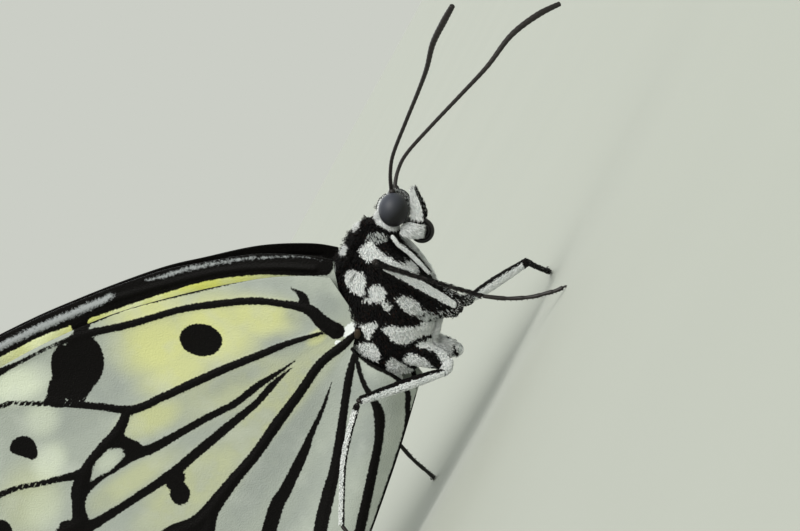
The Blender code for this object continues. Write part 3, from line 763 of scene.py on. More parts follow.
def fused_skin(name, nodes):
    """One smooth surface over several CAD nodes, in the insect's millimetres."""
    bm = bmesh.new()
    for node in nodes:
        bm.from_mesh(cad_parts[node].data)
        if node == "head":
            bm.verts.ensure_lookup_table()
            centre = TO_FRAME @ Vector(HEAD_CENTRE)
            for vert in bm.verts[-len(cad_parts[node].data.vertices):]:
                vert.co = centre + (vert.co - centre) * HEAD_SHARE
    bm.transform(TO_FRAME.inverted())
    bmesh.ops.remove_doubles(bm, verts=bm.verts, dist=WELD)
    bm.normal_update()
    for vert in bm.verts:
        vert.co += vert.normal * SEAM_SWELL
    skin = new_object(name, mesh_from(bm, name))
    fuse = skin.modifiers.new("fuse", "REMESH")
    fuse.mode = "VOXEL"
    fuse.voxel_size = SKIN_VOXEL
    smooth = skin.modifiers.new("smooth", "SMOOTH")
    smooth.factor = 0.5
    smooth.iterations = SMOOTHING_ROUNDS
    draw_in = skin.modifiers.new("draw_in", "DISPLACE")
    draw_in.mid_level = 0.0
    draw_in.strength = -(SEAM_SWELL + COAT_DEPTH)
    return with_modifiers_applied(skin)


body_skin = fused_skin("body_skin", TRUNK + COXAE)
print("skin:", len(body_skin.data.polygons), "faces")

# %% [markdown]
# The body is black with white marks, alike on both sides. Each mark is an outline seen from the
# side, as places along and up, with how white its scales are and what share of them is white.
# Skin and coat ask the same function how deep a place lies inside the nearest mark.

# %% White marks of the body
WHITE_MARKS = (
    # collar and back
    (1.0, 1.0, ((-3.5, 16.2), (-3.2, 17.2), (-2.3, 17.0), (-2.2, 16.1), (-2.85, 15.9), (-3.35, 16.1))),
    (1.0, 1.0, ((-5.7, 16.2), (-5.3, 16.7), (-4.6, 16.5), (-4.7, 15.9), (-5.2, 15.8))),
    (1.0, 1.0, ((-7.5, 16.0), (-7.3, 16.7), (-6.4, 16.6), (-6.4, 16.0), (-6.8, 15.8))),
    # shoulder tuft, the stripe that runs down from it, and the grey hairs before it
    (1.0, 1.0, ((-4.4, 15.2), (-3.4, 15.15), (-3.1, 14.9), (-3.25, 14.4), (-3.5, 13.6), (-3.45, 12.8),
                (-3.5, 12.2), (-3.35, 11.4), (-3.45, 10.7), (-3.9, 10.4), (-3.95, 12.0), (-4.0, 13.0),
                (-4.2, 13.9), (-4.6, 14.3))),
    (0.5, 0.8, ((-3.3, 15.2), (-2.8, 15.3), (-2.3, 14.7), (-2.2, 13.9), (-2.7, 13.8), (-3.1, 14.4))),
    # side of the breast
    (1.0, 1.0, ((-6.2, 15.2), (-5.6, 15.0), (-5.4, 14.2), (-5.7, 13.7), (-6.3, 13.55), (-6.7, 13.25),
                (-7.1, 13.45), (-7.2, 14.3), (-6.8, 15.0))),
    (1.0, 1.0, ((-6.4, 13.3), (-5.8, 13.15), (-5.5, 12.6), (-5.7, 12.0), (-6.3, 11.7), (-6.8, 11.95),
                (-7.1, 12.5), (-7.4, 13.15), (-7.1, 13.25), (-6.75, 12.95))),
    (0.85, 1.0, ((-6.65, 11.8), (-6.3, 11.45), (-6.5, 11.05), (-7.1, 11.0), (-7.1, 11.5))),
    (0.9, 1.0, ((-5.9, 11.1), (-5.4, 10.7), (-5.4, 9.9), (-5.6, 9.1), (-5.9, 8.6), (-6.4, 8.7),
                (-6.6, 9.4), (-6.4, 10.3))),
    (0.45, 0.85, ((-5.9, 9.0), (-5.6, 7.7), (-6.2, 6.9), (-6.9, 7.7), (-6.7, 8.9))),
    # below the wing hinge
    (1.0, 1.0, ((-9.2, 12.6), (-8.7, 12.0), (-8.2, 11.4), (-8.5, 11.2), (-9.2, 11.3), (-10.0, 11.2),
                (-9.9, 11.6), (-9.5, 12.1))),
    (0.95, 1.0, ((-8.6, 10.9), (-8.1, 10.7), (-7.7, 9.6), (-7.3, 8.6), (-6.8, 8.3), (-6.6, 7.2),
                 (-7.8, 7.2), (-8.4, 8.1), (-9.0, 8.6), (-9.2, 9.2), (-9.0, 9.9))),
    (1.0, 1.0, ((-11.5, 12.3), (-10.4, 11.6), (-10.0, 11.0), (-10.2, 10.3), (-10.7, 9.8), (-11.4, 9.8),
                (-11.7, 11.0))),
    # hind coxa: its front, and the patch behind the black band
    (1.0, 1.0, ((-8.6, 8.1), (-8.9, 7.6), (-8.8, 6.9), (-8.75, 6.2), (-9.1, 5.5), (-9.5, 4.6),
                 (-9.0, 3.4), (-7.0, 3.4), (-6.4, 7.2))),
    (1.0, 1.0, ((-9.6, 8.1), (-9.35, 7.4), (-9.4, 6.6), (-9.7, 5.8), (-10.3, 6.4), (-10.7, 7.4),
                (-10.4, 8.2))),
    (1.0, 1.0, ((-11.1, 9.3), (-10.4, 9.1), (-10.5, 8.4), (-10.9, 7.2), (-12.8, 5.5), (-12.8, 8.4))),
    # mid coxa, mottled towards its end
    (0.6, 0.35, ((-5.9, 7.6), (-4.2, 8.2), (-3.4, 6.6), (-4.0, 5.0), (-6.0, 5.0))),
    # behind the eye, and the brow
    (0.9, 1.0, ((-1.05, 15.7), (-0.9, 15.2), (-1.2, 14.7), (-1.5, 14.1), (-1.3, 13.5), (-1.0, 13.0),
                (-1.4, 12.9), (-1.8, 13.6), (-1.9, 14.8), (-1.6, 15.5))),
    (0.55, 0.7, ((0.5, 15.2), (1.3, 15.1), (1.6, 14.0), (0.9, 13.5), (0.6, 14.2))),
)
BLACK_CREASES = (
    ((-9.0, 8.4), (-8.1, 7.55), (-7.9, 6.8), (-8.2, 5.6), (-8.7, 4.6)),
    ((-5.2, 11.4), (-5.0, 10.0), (-5.2, 8.6), (-5.2, 7.4)),
)
# Painted shadow: a black line in the gap between the hind coxae, near the plane of symmetry.
COXA_GAP_SHADE = ((-9.3, 7.0), (-8.8, 6.3), (-8.5, 5.5), (-8.85, 4.3))    # between the hind coxae
COXA_GAP_SHADE_WIDTH, COXA_GAP_SHADE_REACH = 0.22, 0.6     # it lies this near the plane of symmetry
CREASE_WIDTH = 0.17
MIDLINE_WIDTH = 0.28
BACK = (-4.2, 15.3)           # the black midline runs behind and above here
ABDOMEN_FRONT = -12.6
BELLY_RISE = 0.55             # how far above its axis the abdomen is white
RING_PACE = 0.42              # rings in 1 mm of abdomen
RING_RISE = 0.5               # twice the height of the waves that they give the white's edge
EYE_SIZE = np.array((1.2, 1.17, 1.38))
EYE_PLACE = np.array((-0.23, 1.06, 14.37))
EYE_TURN = math.radians(62)
RIM = (0.0, 0.17)           # how far outside the eye the white rim begins and ends


def outline_depth(at, outline):
    """How deep points lie inside a closed outline, in mm; negative outside it."""
    corners = np.array(outline)
    inside = np.zeros(len(at), bool)
    nearest = np.full(len(at), np.inf)
    for a, b in zip(corners, np.roll(corners, -1, axis=0)):
        edge = b - a
        share = np.clip(((at - a) @ edge) / (edge @ edge), 0, 1)
        np.minimum(nearest, np.linalg.norm(at - a - share[:, None] * edge, axis=1), out=nearest)
        crosses = (a[1] > at[:, 1]) != (b[1] > at[:, 1])
        inside ^= crosses & (at[:, 0] < a[0] + (at[:, 1] - a[1]) * edge[0] / (edge[1] or 1e-9))
    return np.where(inside, nearest, -nearest)


def outside_eye(places):
    """How far places lie outside the eye on their own side, in mm, roughly."""
    off = places * (1, 0, 1) + np.abs(places) * (0, 1, 0) - EYE_PLACE
    c, s = math.cos(EYE_TURN), math.sin(EYE_TURN)
    turned = np.column_stack((off[:, 0] * c - off[:, 2] * s, off[:, 1], off[:, 0] * s + off[:, 2] * c))
    return (np.linalg.norm(turned / EYE_SIZE, axis=1) - 1) * EYE_SIZE.mean()


def body_marks(places):
    """For each place: depth inside the nearest mark, how white it is there, and what share."""
    flat = places[:, [0, 2]]
    depth = np.full(len(places), OUTSIDE)
    chalk = np.ones(len(places))
    share = np.ones(len(places))
    for whiteness, portion, outline in WHITE_MARKS:
        inside = outline_depth(flat, outline)
        deeper = inside > depth
        depth = np.where(deeper, inside, depth)
        chalk = np.where(deeper, whiteness, chalk)
        share = np.where(deeper, portion, share)
    for crease in BLACK_CREASES:
        np.minimum(depth, -stroke(flat, crease, [CREASE_WIDTH] * len(crease), steps=12), out=depth)
    # Painted shadow in the gap between the hind coxae.
    gap_shade = -stroke(flat, COXA_GAP_SHADE, [COXA_GAP_SHADE_WIDTH] * len(COXA_GAP_SHADE), steps=12)
    depth = np.where(np.abs(places[:, 1]) < COXA_GAP_SHADE_REACH, np.minimum(depth, gap_shade), depth)
    on_back = (places[:, 2] > BACK[1]) & (places[:, 0] < BACK[0])
    depth = np.where(on_back, np.minimum(depth, np.abs(places[:, 1]) - MIDLINE_WIDTH), depth)
    gap = outside_eye(places)
    rim = np.minimum(gap - RIM[0], RIM[1] - gap)
    depth, chalk = np.maximum(depth, rim), np.where(rim > depth, 1.0, chalk)
    axis = along(ABDOMEN_AXIS, np.linspace(0, 1, 40))
    rise = places[:, 2] - np.interp(-places[:, 0], -axis[:, 0], axis[:, 1])
    belly = places[:, 0] < ABDOMEN_FRONT
    rings = np.abs((places[:, 0] * RING_PACE) % 1.0 - 0.5) * RING_RISE
    depth = np.where(belly, BELLY_RISE - rise - rings, depth)
    chalk, share = np.where(belly, 0.95, chalk), np.where(belly, 0.95, share)
    return depth, chalk, share


# %% [markdown]
# Chitin under a coat is hardly seen, so its finish is simple: black or chalk white by the same
# marks, and dull, so that no gloss shows between the scales.

# %% Skin finish
BLACK, BROWN_GLINT = paint("#060506"), paint("#2C1C16")
CHALK, CHALK_SHADE, ASH = paint("#FBFCFC"), paint("#E2E7E8"), paint("#8F9594")


def coat_colour(tree, place, ragged_mm):
    """Black or white by the marks, with the white greyed where the marks say so."""
    white = add(tree, "Attribute", attribute_name="white").outputs["Fac"]
    chalk = add(tree, "Attribute", attribute_name="chalk").outputs["Fac"]
    tone = add(tree, "Attribute", attribute_name="tone").outputs["Fac"]
    if ragged_mm:
        edge = remap(tree, noise(tree, place, 0.2), 0.3, 0.7, -ragged_mm, ragged_mm)
        white = maths(tree, "ADD", white, edge)
    bright = mixed(tree, remap(tree, tone, 0.0, 0.7), CHALK_SHADE, CHALK)
    pale = mixed(tree, chalk, ASH, bright)
    dark = mixed(tree, remap(tree, tone, 0.9, 1.0), BLACK, BROWN_GLINT)
    return mixed(tree, remap(tree, white, -0.02, 0.02), dark, pale)


def skin_chitin():
    made, tree, shader, place = start_material("skin_chitin", Roughness=0.8, Specular_IOR_Level=0.1)
    tree.links.new(coat_colour(tree, place, 0.1), shader.inputs["Base Color"])
    bump(tree, shader, noise(tree, place, 0.12), 0.02)
    return made


def put_marks(mesh, depth, chalk, tone):
    put_attribute(mesh, "white", depth)
    put_attribute(mesh, "chalk", chalk)
    put_attribute(mesh, "tone", tone)


skin_depth, skin_chalk, skin_share = body_marks(vertex_values(body_skin.data, "co"))
put_marks(body_skin.data, np.where(skin_share < 0.5, -1.0, skin_depth), skin_chalk * 0.8,
          np.zeros(len(skin_depth)))
chitin = skin_chitin()
body_skin.data.materials.append(chitin)


# %% [markdown]
# ## The coat
#
# What looks like fur on a butterfly is thousands of slender scales. One scale is a keeled blade:
# broad in the middle, pointed at the tip, three-sided, so it is solid yet has only ten
# triangles; a long hair has sixteen. A coat is this blade set down again and again over a
# surface, each one turned to the lie of the coat, bent so that it rises at the root and lies
# down at the tip, and a little different in length and lean.

# %% One blade and its many copies
TAU = 2 * math.pi
PATCH = 0.003                 # how wide one blade is on the coat's texture map
SHORT_BLADE = ((0.0, 0.6), (0.5, 1.0))                    # how far along, and the width there
LONG_BLADE = ((0.0, 0.6), (0.36, 1.0), (0.72, 0.7))


def blade_shape(outline):
    """A blade one long and one wide: its vertices along, across and up, and its triangles."""
    bm = bmesh.new()
    keel = ((-0.5, 0.0), (0.0, 0.32), (0.5, 0.0))
    rings = []
    for place, width in outline:
        rings.append([bm.verts.new((place, y * width, z * width)) for y, z in keel])
    tip = bm.verts.new((1.0, 0.0, 0.05))
    for ring, following in zip(rings, rings[1:]):
        for k in range(3):
            bm.faces.new((ring[k], ring[k - 1], following[k - 1], following[k]))
    for k in range(3):
        bm.faces.new((rings[-1][k], rings[-1][k - 1], tip))
    bm.faces.new(rings[0])
    bmesh.ops.recalc_face_normals(bm, faces=bm.faces)
    bmesh.ops.triangulate(bm, faces=bm.faces)
    bm.verts.index_update()
    places = np.array([v.co for v in bm.verts])
    faces = np.array([[v.index for v in f.verts] for f in bm.faces])
    bm.free()
    return places, faces


def surface_points(mesh, count, rng, keep):
    """Random points spread evenly over a mesh, with the surface's direction at each."""
    mesh.calc_loop_triangles()
    corners = np.empty(len(mesh.loop_triangles) * 3, np.int32)
    mesh.loop_triangles.foreach_get("vertices", corners)
    corners = corners.reshape(-1, 3)
    places, normals = vertex_values(mesh, "co"), vertex_values(mesh, "normal")
    a, b, c = (places[corners[:, k]] for k in range(3))
    centre = (a + b + c) / 3
    area = np.linalg.norm(np.cross(b - a, c - a), axis=1) / 2
    area = area * keep(centre, unit(normals[corners].sum(axis=1)))
    chosen = rng.choice(len(area), count, p=area / area.sum())
    share = rng.dirichlet((1.0, 1.0, 1.0), count)[:, :, None]
    at = (places[corners[chosen]] * share).sum(axis=1)
    return at, unit((normals[corners[chosen]] * share).sum(axis=1))


def unit(vectors):
    return vectors / np.maximum(np.linalg.norm(vectors, axis=1, keepdims=True), 1e-9)


def rolled_out(at, axis_start, axis_end):
    """Where a point lies on a surface rolled out round an axis: along it, and round it."""
    start = np.array(axis_start, float)
    axis = np.array(axis_end, float) - start
    length = np.linalg.norm(axis)
    axis = axis / length
    off = at - start
    upward = unit(np.cross(np.array([[0.0, 1.0, 0.0]]), axis))
    around = np.arctan2(off[:, 1], (off * upward).sum(axis=1))
    return np.clip(np.column_stack(((off @ axis) / length, around / TAU + 0.5)), 0.0, 1.0)


def blades(at, out, lie, rng, length, width, lift=0.4, lean=0.28, outline=SHORT_BLADE):
    """Corner places of many blades on a surface, and the triangles of one."""
    shape, faces = blade_shape(outline)
    count = len(at)
    lie = unit(lie - (lie * out).sum(axis=1, keepdims=True) * out)
    across = np.cross(out, lie)
    turn = rng.normal(0.0, lean, count)[:, None]
    lie, across = lie * np.cos(turn) + across * np.sin(turn), across * np.cos(turn) - lie * np.sin(turn)
    long = (length * rng.uniform(0.7, 1.25, count))[:, None, None]
    wide = (width * rng.uniform(0.75, 1.25, count))[:, None, None]
    rise = (lift * rng.uniform(0.5, 1.5, count))[:, None, None]
    x, y, z = (shape[None, :, k, None] for k in range(3))
    arch = np.sin(math.pi * (0.05 + 0.72 * x)) - 0.15
    corners = (at[:, None] + lie[:, None] * x * long * (1.0 - 0.25 * rise) + across[:, None] * y * wide
               + out[:, None] * (z * wide + arch * rise * long))
    return corners, shape, faces


def coat(name, parts, finish):
    """Join blades into one piece. A part is (blades, texture places, depth, chalk, tone)."""
    corners, triangles, marks, uvs, start = [], [], [], [], 0
    for (places, shape, faces), rolled, depth, chalk, tone in parts:
        count, size = places.shape[:2]
        corners.append(places.reshape(-1, 3))
        triangle = (faces[None] + np.arange(count)[:, None, None] * size).reshape(-1)
        triangles.append(triangle + start)
        start += count * size
        marks.append(np.column_stack([np.repeat(v, size) for v in (depth, chalk, tone)]))
        patch = (shape[:, :2] - (0.5, 0.0)) * PATCH
        uv = (rolled * 0.98 + 0.01)[:, None] + patch[None]
        uvs.append(uv.reshape(-1, 2)[triangle])
    corners, triangles, marks = (np.concatenate(v) for v in (corners, triangles, marks))
    mesh = bpy.data.meshes.new(name)
    mesh.vertices.add(len(corners))
    mesh.vertices.foreach_set("co", corners.reshape(-1))
    mesh.loops.add(len(triangles))
    mesh.loops.foreach_set("vertex_index", triangles.astype(np.int32))
    mesh.polygons.add(len(triangles) // 3)
    mesh.polygons.foreach_set("loop_start", np.arange(0, len(triangles), 3, dtype=np.int32))
    mesh.update(calc_edges=True)
    put_marks(mesh, *marks.T)
    layer = mesh.uv_layers.new(name="OFBake")
    layer.uv.foreach_set("vector", np.concatenate(uvs).astype(np.float32).reshape(-1))
    mesh.transform(TO_FRAME)
    mesh.materials.append(finish)
    piece = new_object(name, mesh)
    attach(piece, "root")
    print(f"{name}: {len(mesh.polygons)} triangles")
    return piece


# %% [markdown]
# Scales are dry and take light softly. Black ones hold melanin and show a brown glint here and
# there; white ones hold no pigment and are white as snow is, by scattering, so they stay
# bright at grazing light and a little blue in their own shade.

# %% Scale finish
def scale_finish(name):
    made, tree, shader, place = start_material(name, Roughness=0.6, Specular_IOR_Level=0.18)
    tree.links.new(coat_colour(tree, place, 0.0), shader.inputs["Base Color"])
    return made


body_scales = scale_finish("body_scales")

# %% [markdown]
# On the breast the scales run down towards the legs, on the back they run towards the tail, on
# the head they run back from the face, and on the abdomen they lie flat along it. Right and
# left are separate coats, to keep each piece at a handy size.

# %% Coat of the trunk
HEAD_BACK = -1.9
BLADES = {"breast": 19000, "abdomen": 12000, "face": 8000, "nape": 4400, "brow": 2000,
          "underside": 3400}  # the breast's number is for each side
scale_rng = np.random.default_rng(11)


def marked(at, rng, jitter):
    """The marks at each blade's root, with a ragged edge and single scales of the other kind."""
    depth, chalk, share = body_marks(at)
    depth = depth + rng.normal(0.0, jitter, len(at))
    depth = np.where(rng.random(len(at)) > share, -1.0, depth)
    return depth, chalk * rng.uniform(0.85, 1.0, len(at)), rng.random(len(at))


def breast_lie(out):
    """Down the sides, and back along the ridge of the back."""
    ridge = np.clip(out[:, 2:3] * 1.6 - 0.4, 0.0, 1.0)
    return ridge * np.array((-1.0, 0.0, -0.3)) + (1 - ridge) * np.array((-0.45, 0.0, -1.0))


def rolled_trunk(at):
    return rolled_out(at, (-1.5, 0.0, 15.6), (-12.6, 0.0, 8.2))


def rolled_abdomen(at):
    return rolled_out(at, (-12.0, 0.0, 8.6), (-35.5, 0.0, 3.9))


def cover_breast(side):
    def on_breast(at, out):
        trunk = (at[:, 0] < HEAD_BACK) & (at[:, 0] > ABDOMEN_FRONT - 0.4)
        return (trunk & (at[:, 1] * SIDES[side] >= 0.0)).astype(float)

    at, out = surface_points(body_skin.data, BLADES["breast"], scale_rng, on_breast)
    marks = marked(at, scale_rng, 0.05)
    length = np.where(marks[0] > 0, 0.29, 0.36)     # white scales are the shorter ones
    coat("breast_scales_" + side,
         [(blades(at, out, breast_lie(out), scale_rng, length, 0.085, 0.4), rolled_trunk(at),
           *marks)], body_scales)


for side in SIDES:
    cover_breast(side)


def on_abdomen(at, out):
    return (at[:, 0] <= ABDOMEN_FRONT - 0.2).astype(float)


at, out = surface_points(body_skin.data, BLADES["abdomen"], scale_rng, on_abdomen)
coat("abdomen_scales",
     [(blades(at, out, np.tile((-1.0, 0.0, -0.2), (len(at), 1)), scale_rng, 0.42, 0.14, 0.22),
       rolled_abdomen(at), *marked(at, scale_rng, 0.08))], body_scales)


# %% [markdown]
# ## The head
#
# The eyes are two large smooth domes of thousands of lenses. They are black, and the side that is
# turned up and forward is painted grey as a painted reflection of the bright sky; the lens pattern
# is too fine to follow and is left to the bump of the finish.

# %% Eyes
def eye_lens():
    made, tree, shader, place = start_material("eye_lens", Roughness=0.5, Specular_IOR_Level=0.35)
    sky_reflection = add(tree, "Attribute", attribute_name="sky_reflection").outputs["Fac"]
    # Painted reflection: the lens turns lighter grey as it faces the sky.
    colour = mixed(tree, remap(tree, sky_reflection, -0.1, 1.0), paint("#0C0C0F"), paint("#40434D"))
    tree.links.new(colour, shader.inputs["Base Color"])
    facets = add(tree, "TexVoronoi", {"Vector": place, "Scale": 1 / (0.05 * MM)})
    bump(tree, shader, facets.outputs["Distance"], 0.004)
    return made


EYE_SLANT = {"right": 0.0, "left": (-0.16, 0.0, -0.16)}    # the head is held a little aslant
# The way of the sky whose painted reflection lightens the eyes.
SKY_REFLECTION_WAY = (0.45, -0.15, 0.88)
EYE_FIT = 0.97                # the dome's size in its socket


def build_eye(side, finish):
    bm = bmesh.new()
    bm.loops.layers.uv.new("OFBake")
    bmesh.ops.create_uvsphere(bm, u_segments=72, v_segments=48, radius=1.0, calc_uvs=True)
    bm.transform(Matrix.Rotation(EYE_TURN, 4, "Y") @ Matrix.Diagonal((*EYE_SIZE * EYE_FIT, 1.0)))
    centre = Vector(EYE_PLACE * (1, SIDES[side], 1) + EYE_SLANT[side])
    bm.transform(TO_FRAME @ Matrix.Translation(centre))
    mesh = mesh_from(bm, "eye_lens_" + side)
    put_attribute(mesh, "sky_reflection", vertex_values(mesh, "normal") @ SKY_REFLECTION_WAY)
    mesh.shade_smooth()
    mesh.materials.append(finish)
    eye = new_object("eye_lens_" + side, mesh)
    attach(eye, "root")
    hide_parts("eye_" + side)


lens = eye_lens()
for side in SIDES:
    build_eye(side, lens)

# %% [markdown]
# The crown and nape carry long hairs that stand off the outline, most of them black, and the
# brow a tuft of shorter ones. The face carries short scales. Nothing grows on the eyes.

# %% Coat of the head
def clear_of_eye(at):
    return outside_eye(at) > 0.05


def on_head(at, out):
    return ((at[:, 0] >= HEAD_BACK) & clear_of_eye(at)).astype(float)


def on_nape(at, out):
    nape = (at[:, 0] > -6.5) & (at[:, 0] < -0.7) & (out[:, 2] * 0.8 - out[:, 0] * 0.5 > 0.35)
    return (nape & clear_of_eye(at)).astype(float)


def on_brow(at, out):
    return ((at[:, 0] > 0.45) & clear_of_eye(at)).astype(float)


def head_lie(at):
    """Back over the crown, and away from the eye beside it."""
    away = unit(at * (1, 0, 1) + np.abs(at) * (0, 1, 0) - EYE_PLACE) * np.sign(at + 1e-9) ** (0, 1, 0)
    near = np.clip(1.2 - outside_eye(at) * 2.0, 0.0, 1.0)[:, None]
    return near * away + (1 - near) * np.array((-0.9, 0.0, -0.3))


def rolled_head(at):
    return rolled_out(at, (1.6, 0.0, 14.6), (-5.6, 0.0, 14.6))


at, out = surface_points(body_skin.data, BLADES["face"], scale_rng, on_head)
face = (blades(at, out, head_lie(at), scale_rng, 0.26, 0.07, 0.5), rolled_head(at),
        *marked(at, scale_rng, 0.04))
at, out = surface_points(body_skin.data, BLADES["nape"], scale_rng, on_nape)
hair = np.interp(-at[:, 0], (0.6, 1.8, 3.0, 5.2, 6.5), (0.6, 1.25, 0.95, 0.75, 0.55))
hair = np.minimum(hair, 0.2 + 0.8 * np.abs(body_marks(at)[0]))
nape = (blades(at, out, np.tile((-0.6, 0.0, 0.1), (len(at), 1)), scale_rng, hair, 0.05, 0.9, 0.4,
               LONG_BLADE), rolled_head(at), *marked(at, scale_rng, 0.04))
at, out = surface_points(body_skin.data, BLADES["brow"], scale_rng, on_brow)
brow = (blades(at, out, np.tile((0.3, 0.0, 0.9), (len(at), 1)), scale_rng, 0.32, 0.045, 1.1, 0.6,
               LONG_BLADE), rolled_head(at), *marked(at, scale_rng, 0.3))
coat("head_hairs", [face, nape, brow], body_scales)

# %% [markdown]
# Between the middle and the hind coxae the underside of the breast is filled with long soft
# pale hairs.

# %% Breast hairs
def on_underside(at, out):
    low = (at[:, 0] < -5.7) & (at[:, 0] > -8.8) & (at[:, 2] > 5.3) & (np.abs(at[:, 1]) < 0.8)
    return (low & (out[:, 0] * 0.6 - out[:, 2] * 0.8 > 0.3)).astype(float)


at, out = surface_points(body_skin.data, BLADES["underside"], scale_rng, on_underside)
coat("breast_hairs", [(blades(at, out, np.tile((0.5, 0.0, -0.85), (len(at), 1)), scale_rng, 0.65, 0.045,
                              0.6, 0.3, LONG_BLADE), rolled_trunk(at), np.ones(len(at)),
                       scale_rng.uniform(0.6, 1.0, len(at)), scale_rng.random(len(at)))],
     body_scales)


# %% [markdown]
# ## Limbs
#
# Legs, feelers, palps and tongue are all tubes along a smooth route, so one function makes
# them. It lays rings of vertices square to the route, rounds both ends, and unrolls the tube
# into a rectangle for the texture. A second function spreads places over the same tube, for the
# roots of its coat.

# %% Tubes along a route
END_ROUNDING = (0.0, 0.45, 0.78, 0.95)


def route_frame(route, t, upper):
    """Places on a route, and the three directions there: ahead, up and across."""
    at = along(route, t)
    ahead = unit(along(route, np.minimum(t + 0.004, 1.0)) - along(route, np.maximum(t - 0.004, 0.0)))
    up = np.array(upper, float)[None]
    up = unit(up - (ahead * up).sum(axis=1, keepdims=True) * ahead)
    return at, ahead, up, np.cross(up, ahead)


def route_length(route):
    return float(np.linalg.norm(np.diff(along(route, np.linspace(0, 1, 80)), axis=0), axis=1).sum())


def on_strip(u, v, strip):
    """A place on the strip of the texture that a tube is unrolled into."""
    return 0.01 + 0.98 * u, 0.01 + 0.98 * (strip[0] + (strip[1] - strip[0]) * v)


def width_at(radii, t):
    return np.interp(t, np.linspace(0, 1, len(radii)), radii)


def tube(bm, route, radii, upper=(0, 0, 1), across=1.0, sides=14, step=0.16, strip=(0.0, 1.0)):
    """A closed tube in the insect's millimetres, unrolled into a strip of the texture."""
    length = route_length(route)
    rounding = min(0.5, max(radii[0], radii[-1]) / length)
    inner = np.linspace(rounding, 1 - rounding, max(3, int(length / step)))
    cap = np.array([1 - math.sqrt(1 - k * k) for k in END_ROUNDING]) * rounding
    t = np.concatenate((cap, inner, 1 - cap[::-1]))
    scale = np.ones(len(t))
    scale[:len(cap)] = END_ROUNDING
    scale[-len(cap):] = END_ROUNDING[::-1]
    at, ahead, up, out = route_frame(route, t, upper)
    size = width_at(radii, t) * np.maximum(scale, 0.04)
    uv = bm.loops.layers.uv.verify()
    angles = np.linspace(0, TAU, sides, endpoint=False)
    rings = []
    for k in range(len(t)):
        ring = [bm.verts.new(at[k] + size[k] * (math.cos(a) * up[k] + math.sin(a) * across * out[k]))
                for a in angles]
        rings.append(ring)
    for k in range(len(t) - 1):
        for j in range(sides):
            face = bm.faces.new((rings[k][j], rings[k][j - 1], rings[k + 1][j - 1], rings[k + 1][j]))
            turn = j or sides
            spots = ((t[k], turn), (t[k], turn - 1), (t[k + 1], turn - 1), (t[k + 1], turn))
            for loop, (u, v) in zip(face.loops, spots):
                loop[uv].uv = on_strip(u, v / sides, strip)
    for ring, u in ((rings[0], 0.0), (rings[-1], 1.0)):
        face = bm.faces.new(ring)
        for loop in face.loops:
            loop[uv].uv = on_strip(u, 0.5, strip)
    return np.repeat(t, sides)


def tube_points(route, radii, count, rng, upper=(0, 0, 1), across=1.0, strip=(0.0, 1.0),
                span=(0.02, 0.98)):
    """Places spread over a tube: where, facing where, which way is ahead, and the texture place."""
    t = rng.uniform(*span, count * 2)
    t = t[rng.random(count * 2) < width_at(radii, t) / max(radii)][:count]
    angle = rng.uniform(0, TAU, len(t))
    at, ahead, up, out = route_frame(route, t, upper)
    c, s = np.cos(angle)[:, None], np.sin(angle)[:, None]
    facing = unit(c * up + s * out / across)
    at = at + width_at(radii, t)[:, None] * (c * up + s * across * out)
    return at, facing, ahead, np.column_stack((t, strip[0] + (strip[1] - strip[0]) * angle / TAU))


def finish_tubes(name, bm, finish, nodes):
    """Turn tubes into a finished piece that stands in for its CAD nodes."""
    bmesh.ops.recalc_face_normals(bm, faces=bm.faces)
    mesh = mesh_from(bm, name)
    for layer in mesh.uv_layers:
        layer.name = "OFBake"
    mesh.shade_smooth()
    mesh.materials.append(finish)
    mesh.transform(TO_FRAME)
    piece = new_object(name, mesh)
    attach(piece, "root")
    if nodes:
        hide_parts(*nodes)
    return piece


# %% [markdown]
# Bare chitin is dark red-brown and has the low gloss of horn. Where a leg is white, the horn
# under its scales is pale too. The finish of the palps and forelegs is the skin's.

# %% Horn
def horn(name, colour, roughness=0.42):
    made, tree, shader, place = start_material(name, Roughness=roughness, Specular_IOR_Level=0.4)
    tint = mixed(tree, noise(tree, place, 0.35), colour, paint("#050404"))
    white = add(tree, "Attribute", attribute_name="white").outputs["Fac"]
    tint = mixed(tree, remap(tree, white, 0.0, 0.1), tint, CHALK_SHADE)
    tree.links.new(tint, shader.inputs["Base Color"])
    bump(tree, shader, noise(tree, place, 0.05), 0.006)
    return made


leg_horn = horn("leg_horn", paint("#1C1210"))
feeler_horn = horn("feeler_horn", paint("#231A18"), 0.5)
horn_plate = horn("plate_horn", paint("#3A2A14"), 0.5)
tongue_horn = horn("tongue_horn", paint("#120E0E"), 0.3)

# %% [markdown]
# A feeler springs from a round base joint and runs on as a fine string of rings to a slender
# club.

# %% Feelers
FEELERS = {
    "right": ((0.85, -0.52, 15.1), (1.07, -0.56, 15.32), (2.3, -1.25, 15.95), (4.1, -2.3, 16.5),
              (7.6, -4.4, 16.9), (10.6, -6.3, 17.2), (12.9, -7.9, 17.5), (15.2, -9.5, 18.0),
              (17.4, -11, 18.1), (19.1, -12, 18.1)),
    "left": ((0.9, 0.52, 14.95), (1.11, 0.56, 15.16), (2.1, 1.3, 15.5), (3.3, 2.5, 15.5),
             (5.7, 4.4, 14.8), (8.5, 6.4, 13.9), (11.1, 8.2, 13.1), (13.8, 9.8, 12.6),
             (16, 11.1, 11.5), (17.5, 12.1, 10.3)),
}
FEELER_RADII = (0.2, 0.17, 0.15, 0.15, 0.15, 0.155, 0.17, 0.2, 0.24, 0.26, 0.2)
RING_EVERY = 0.42             # mm of feeler in one ring


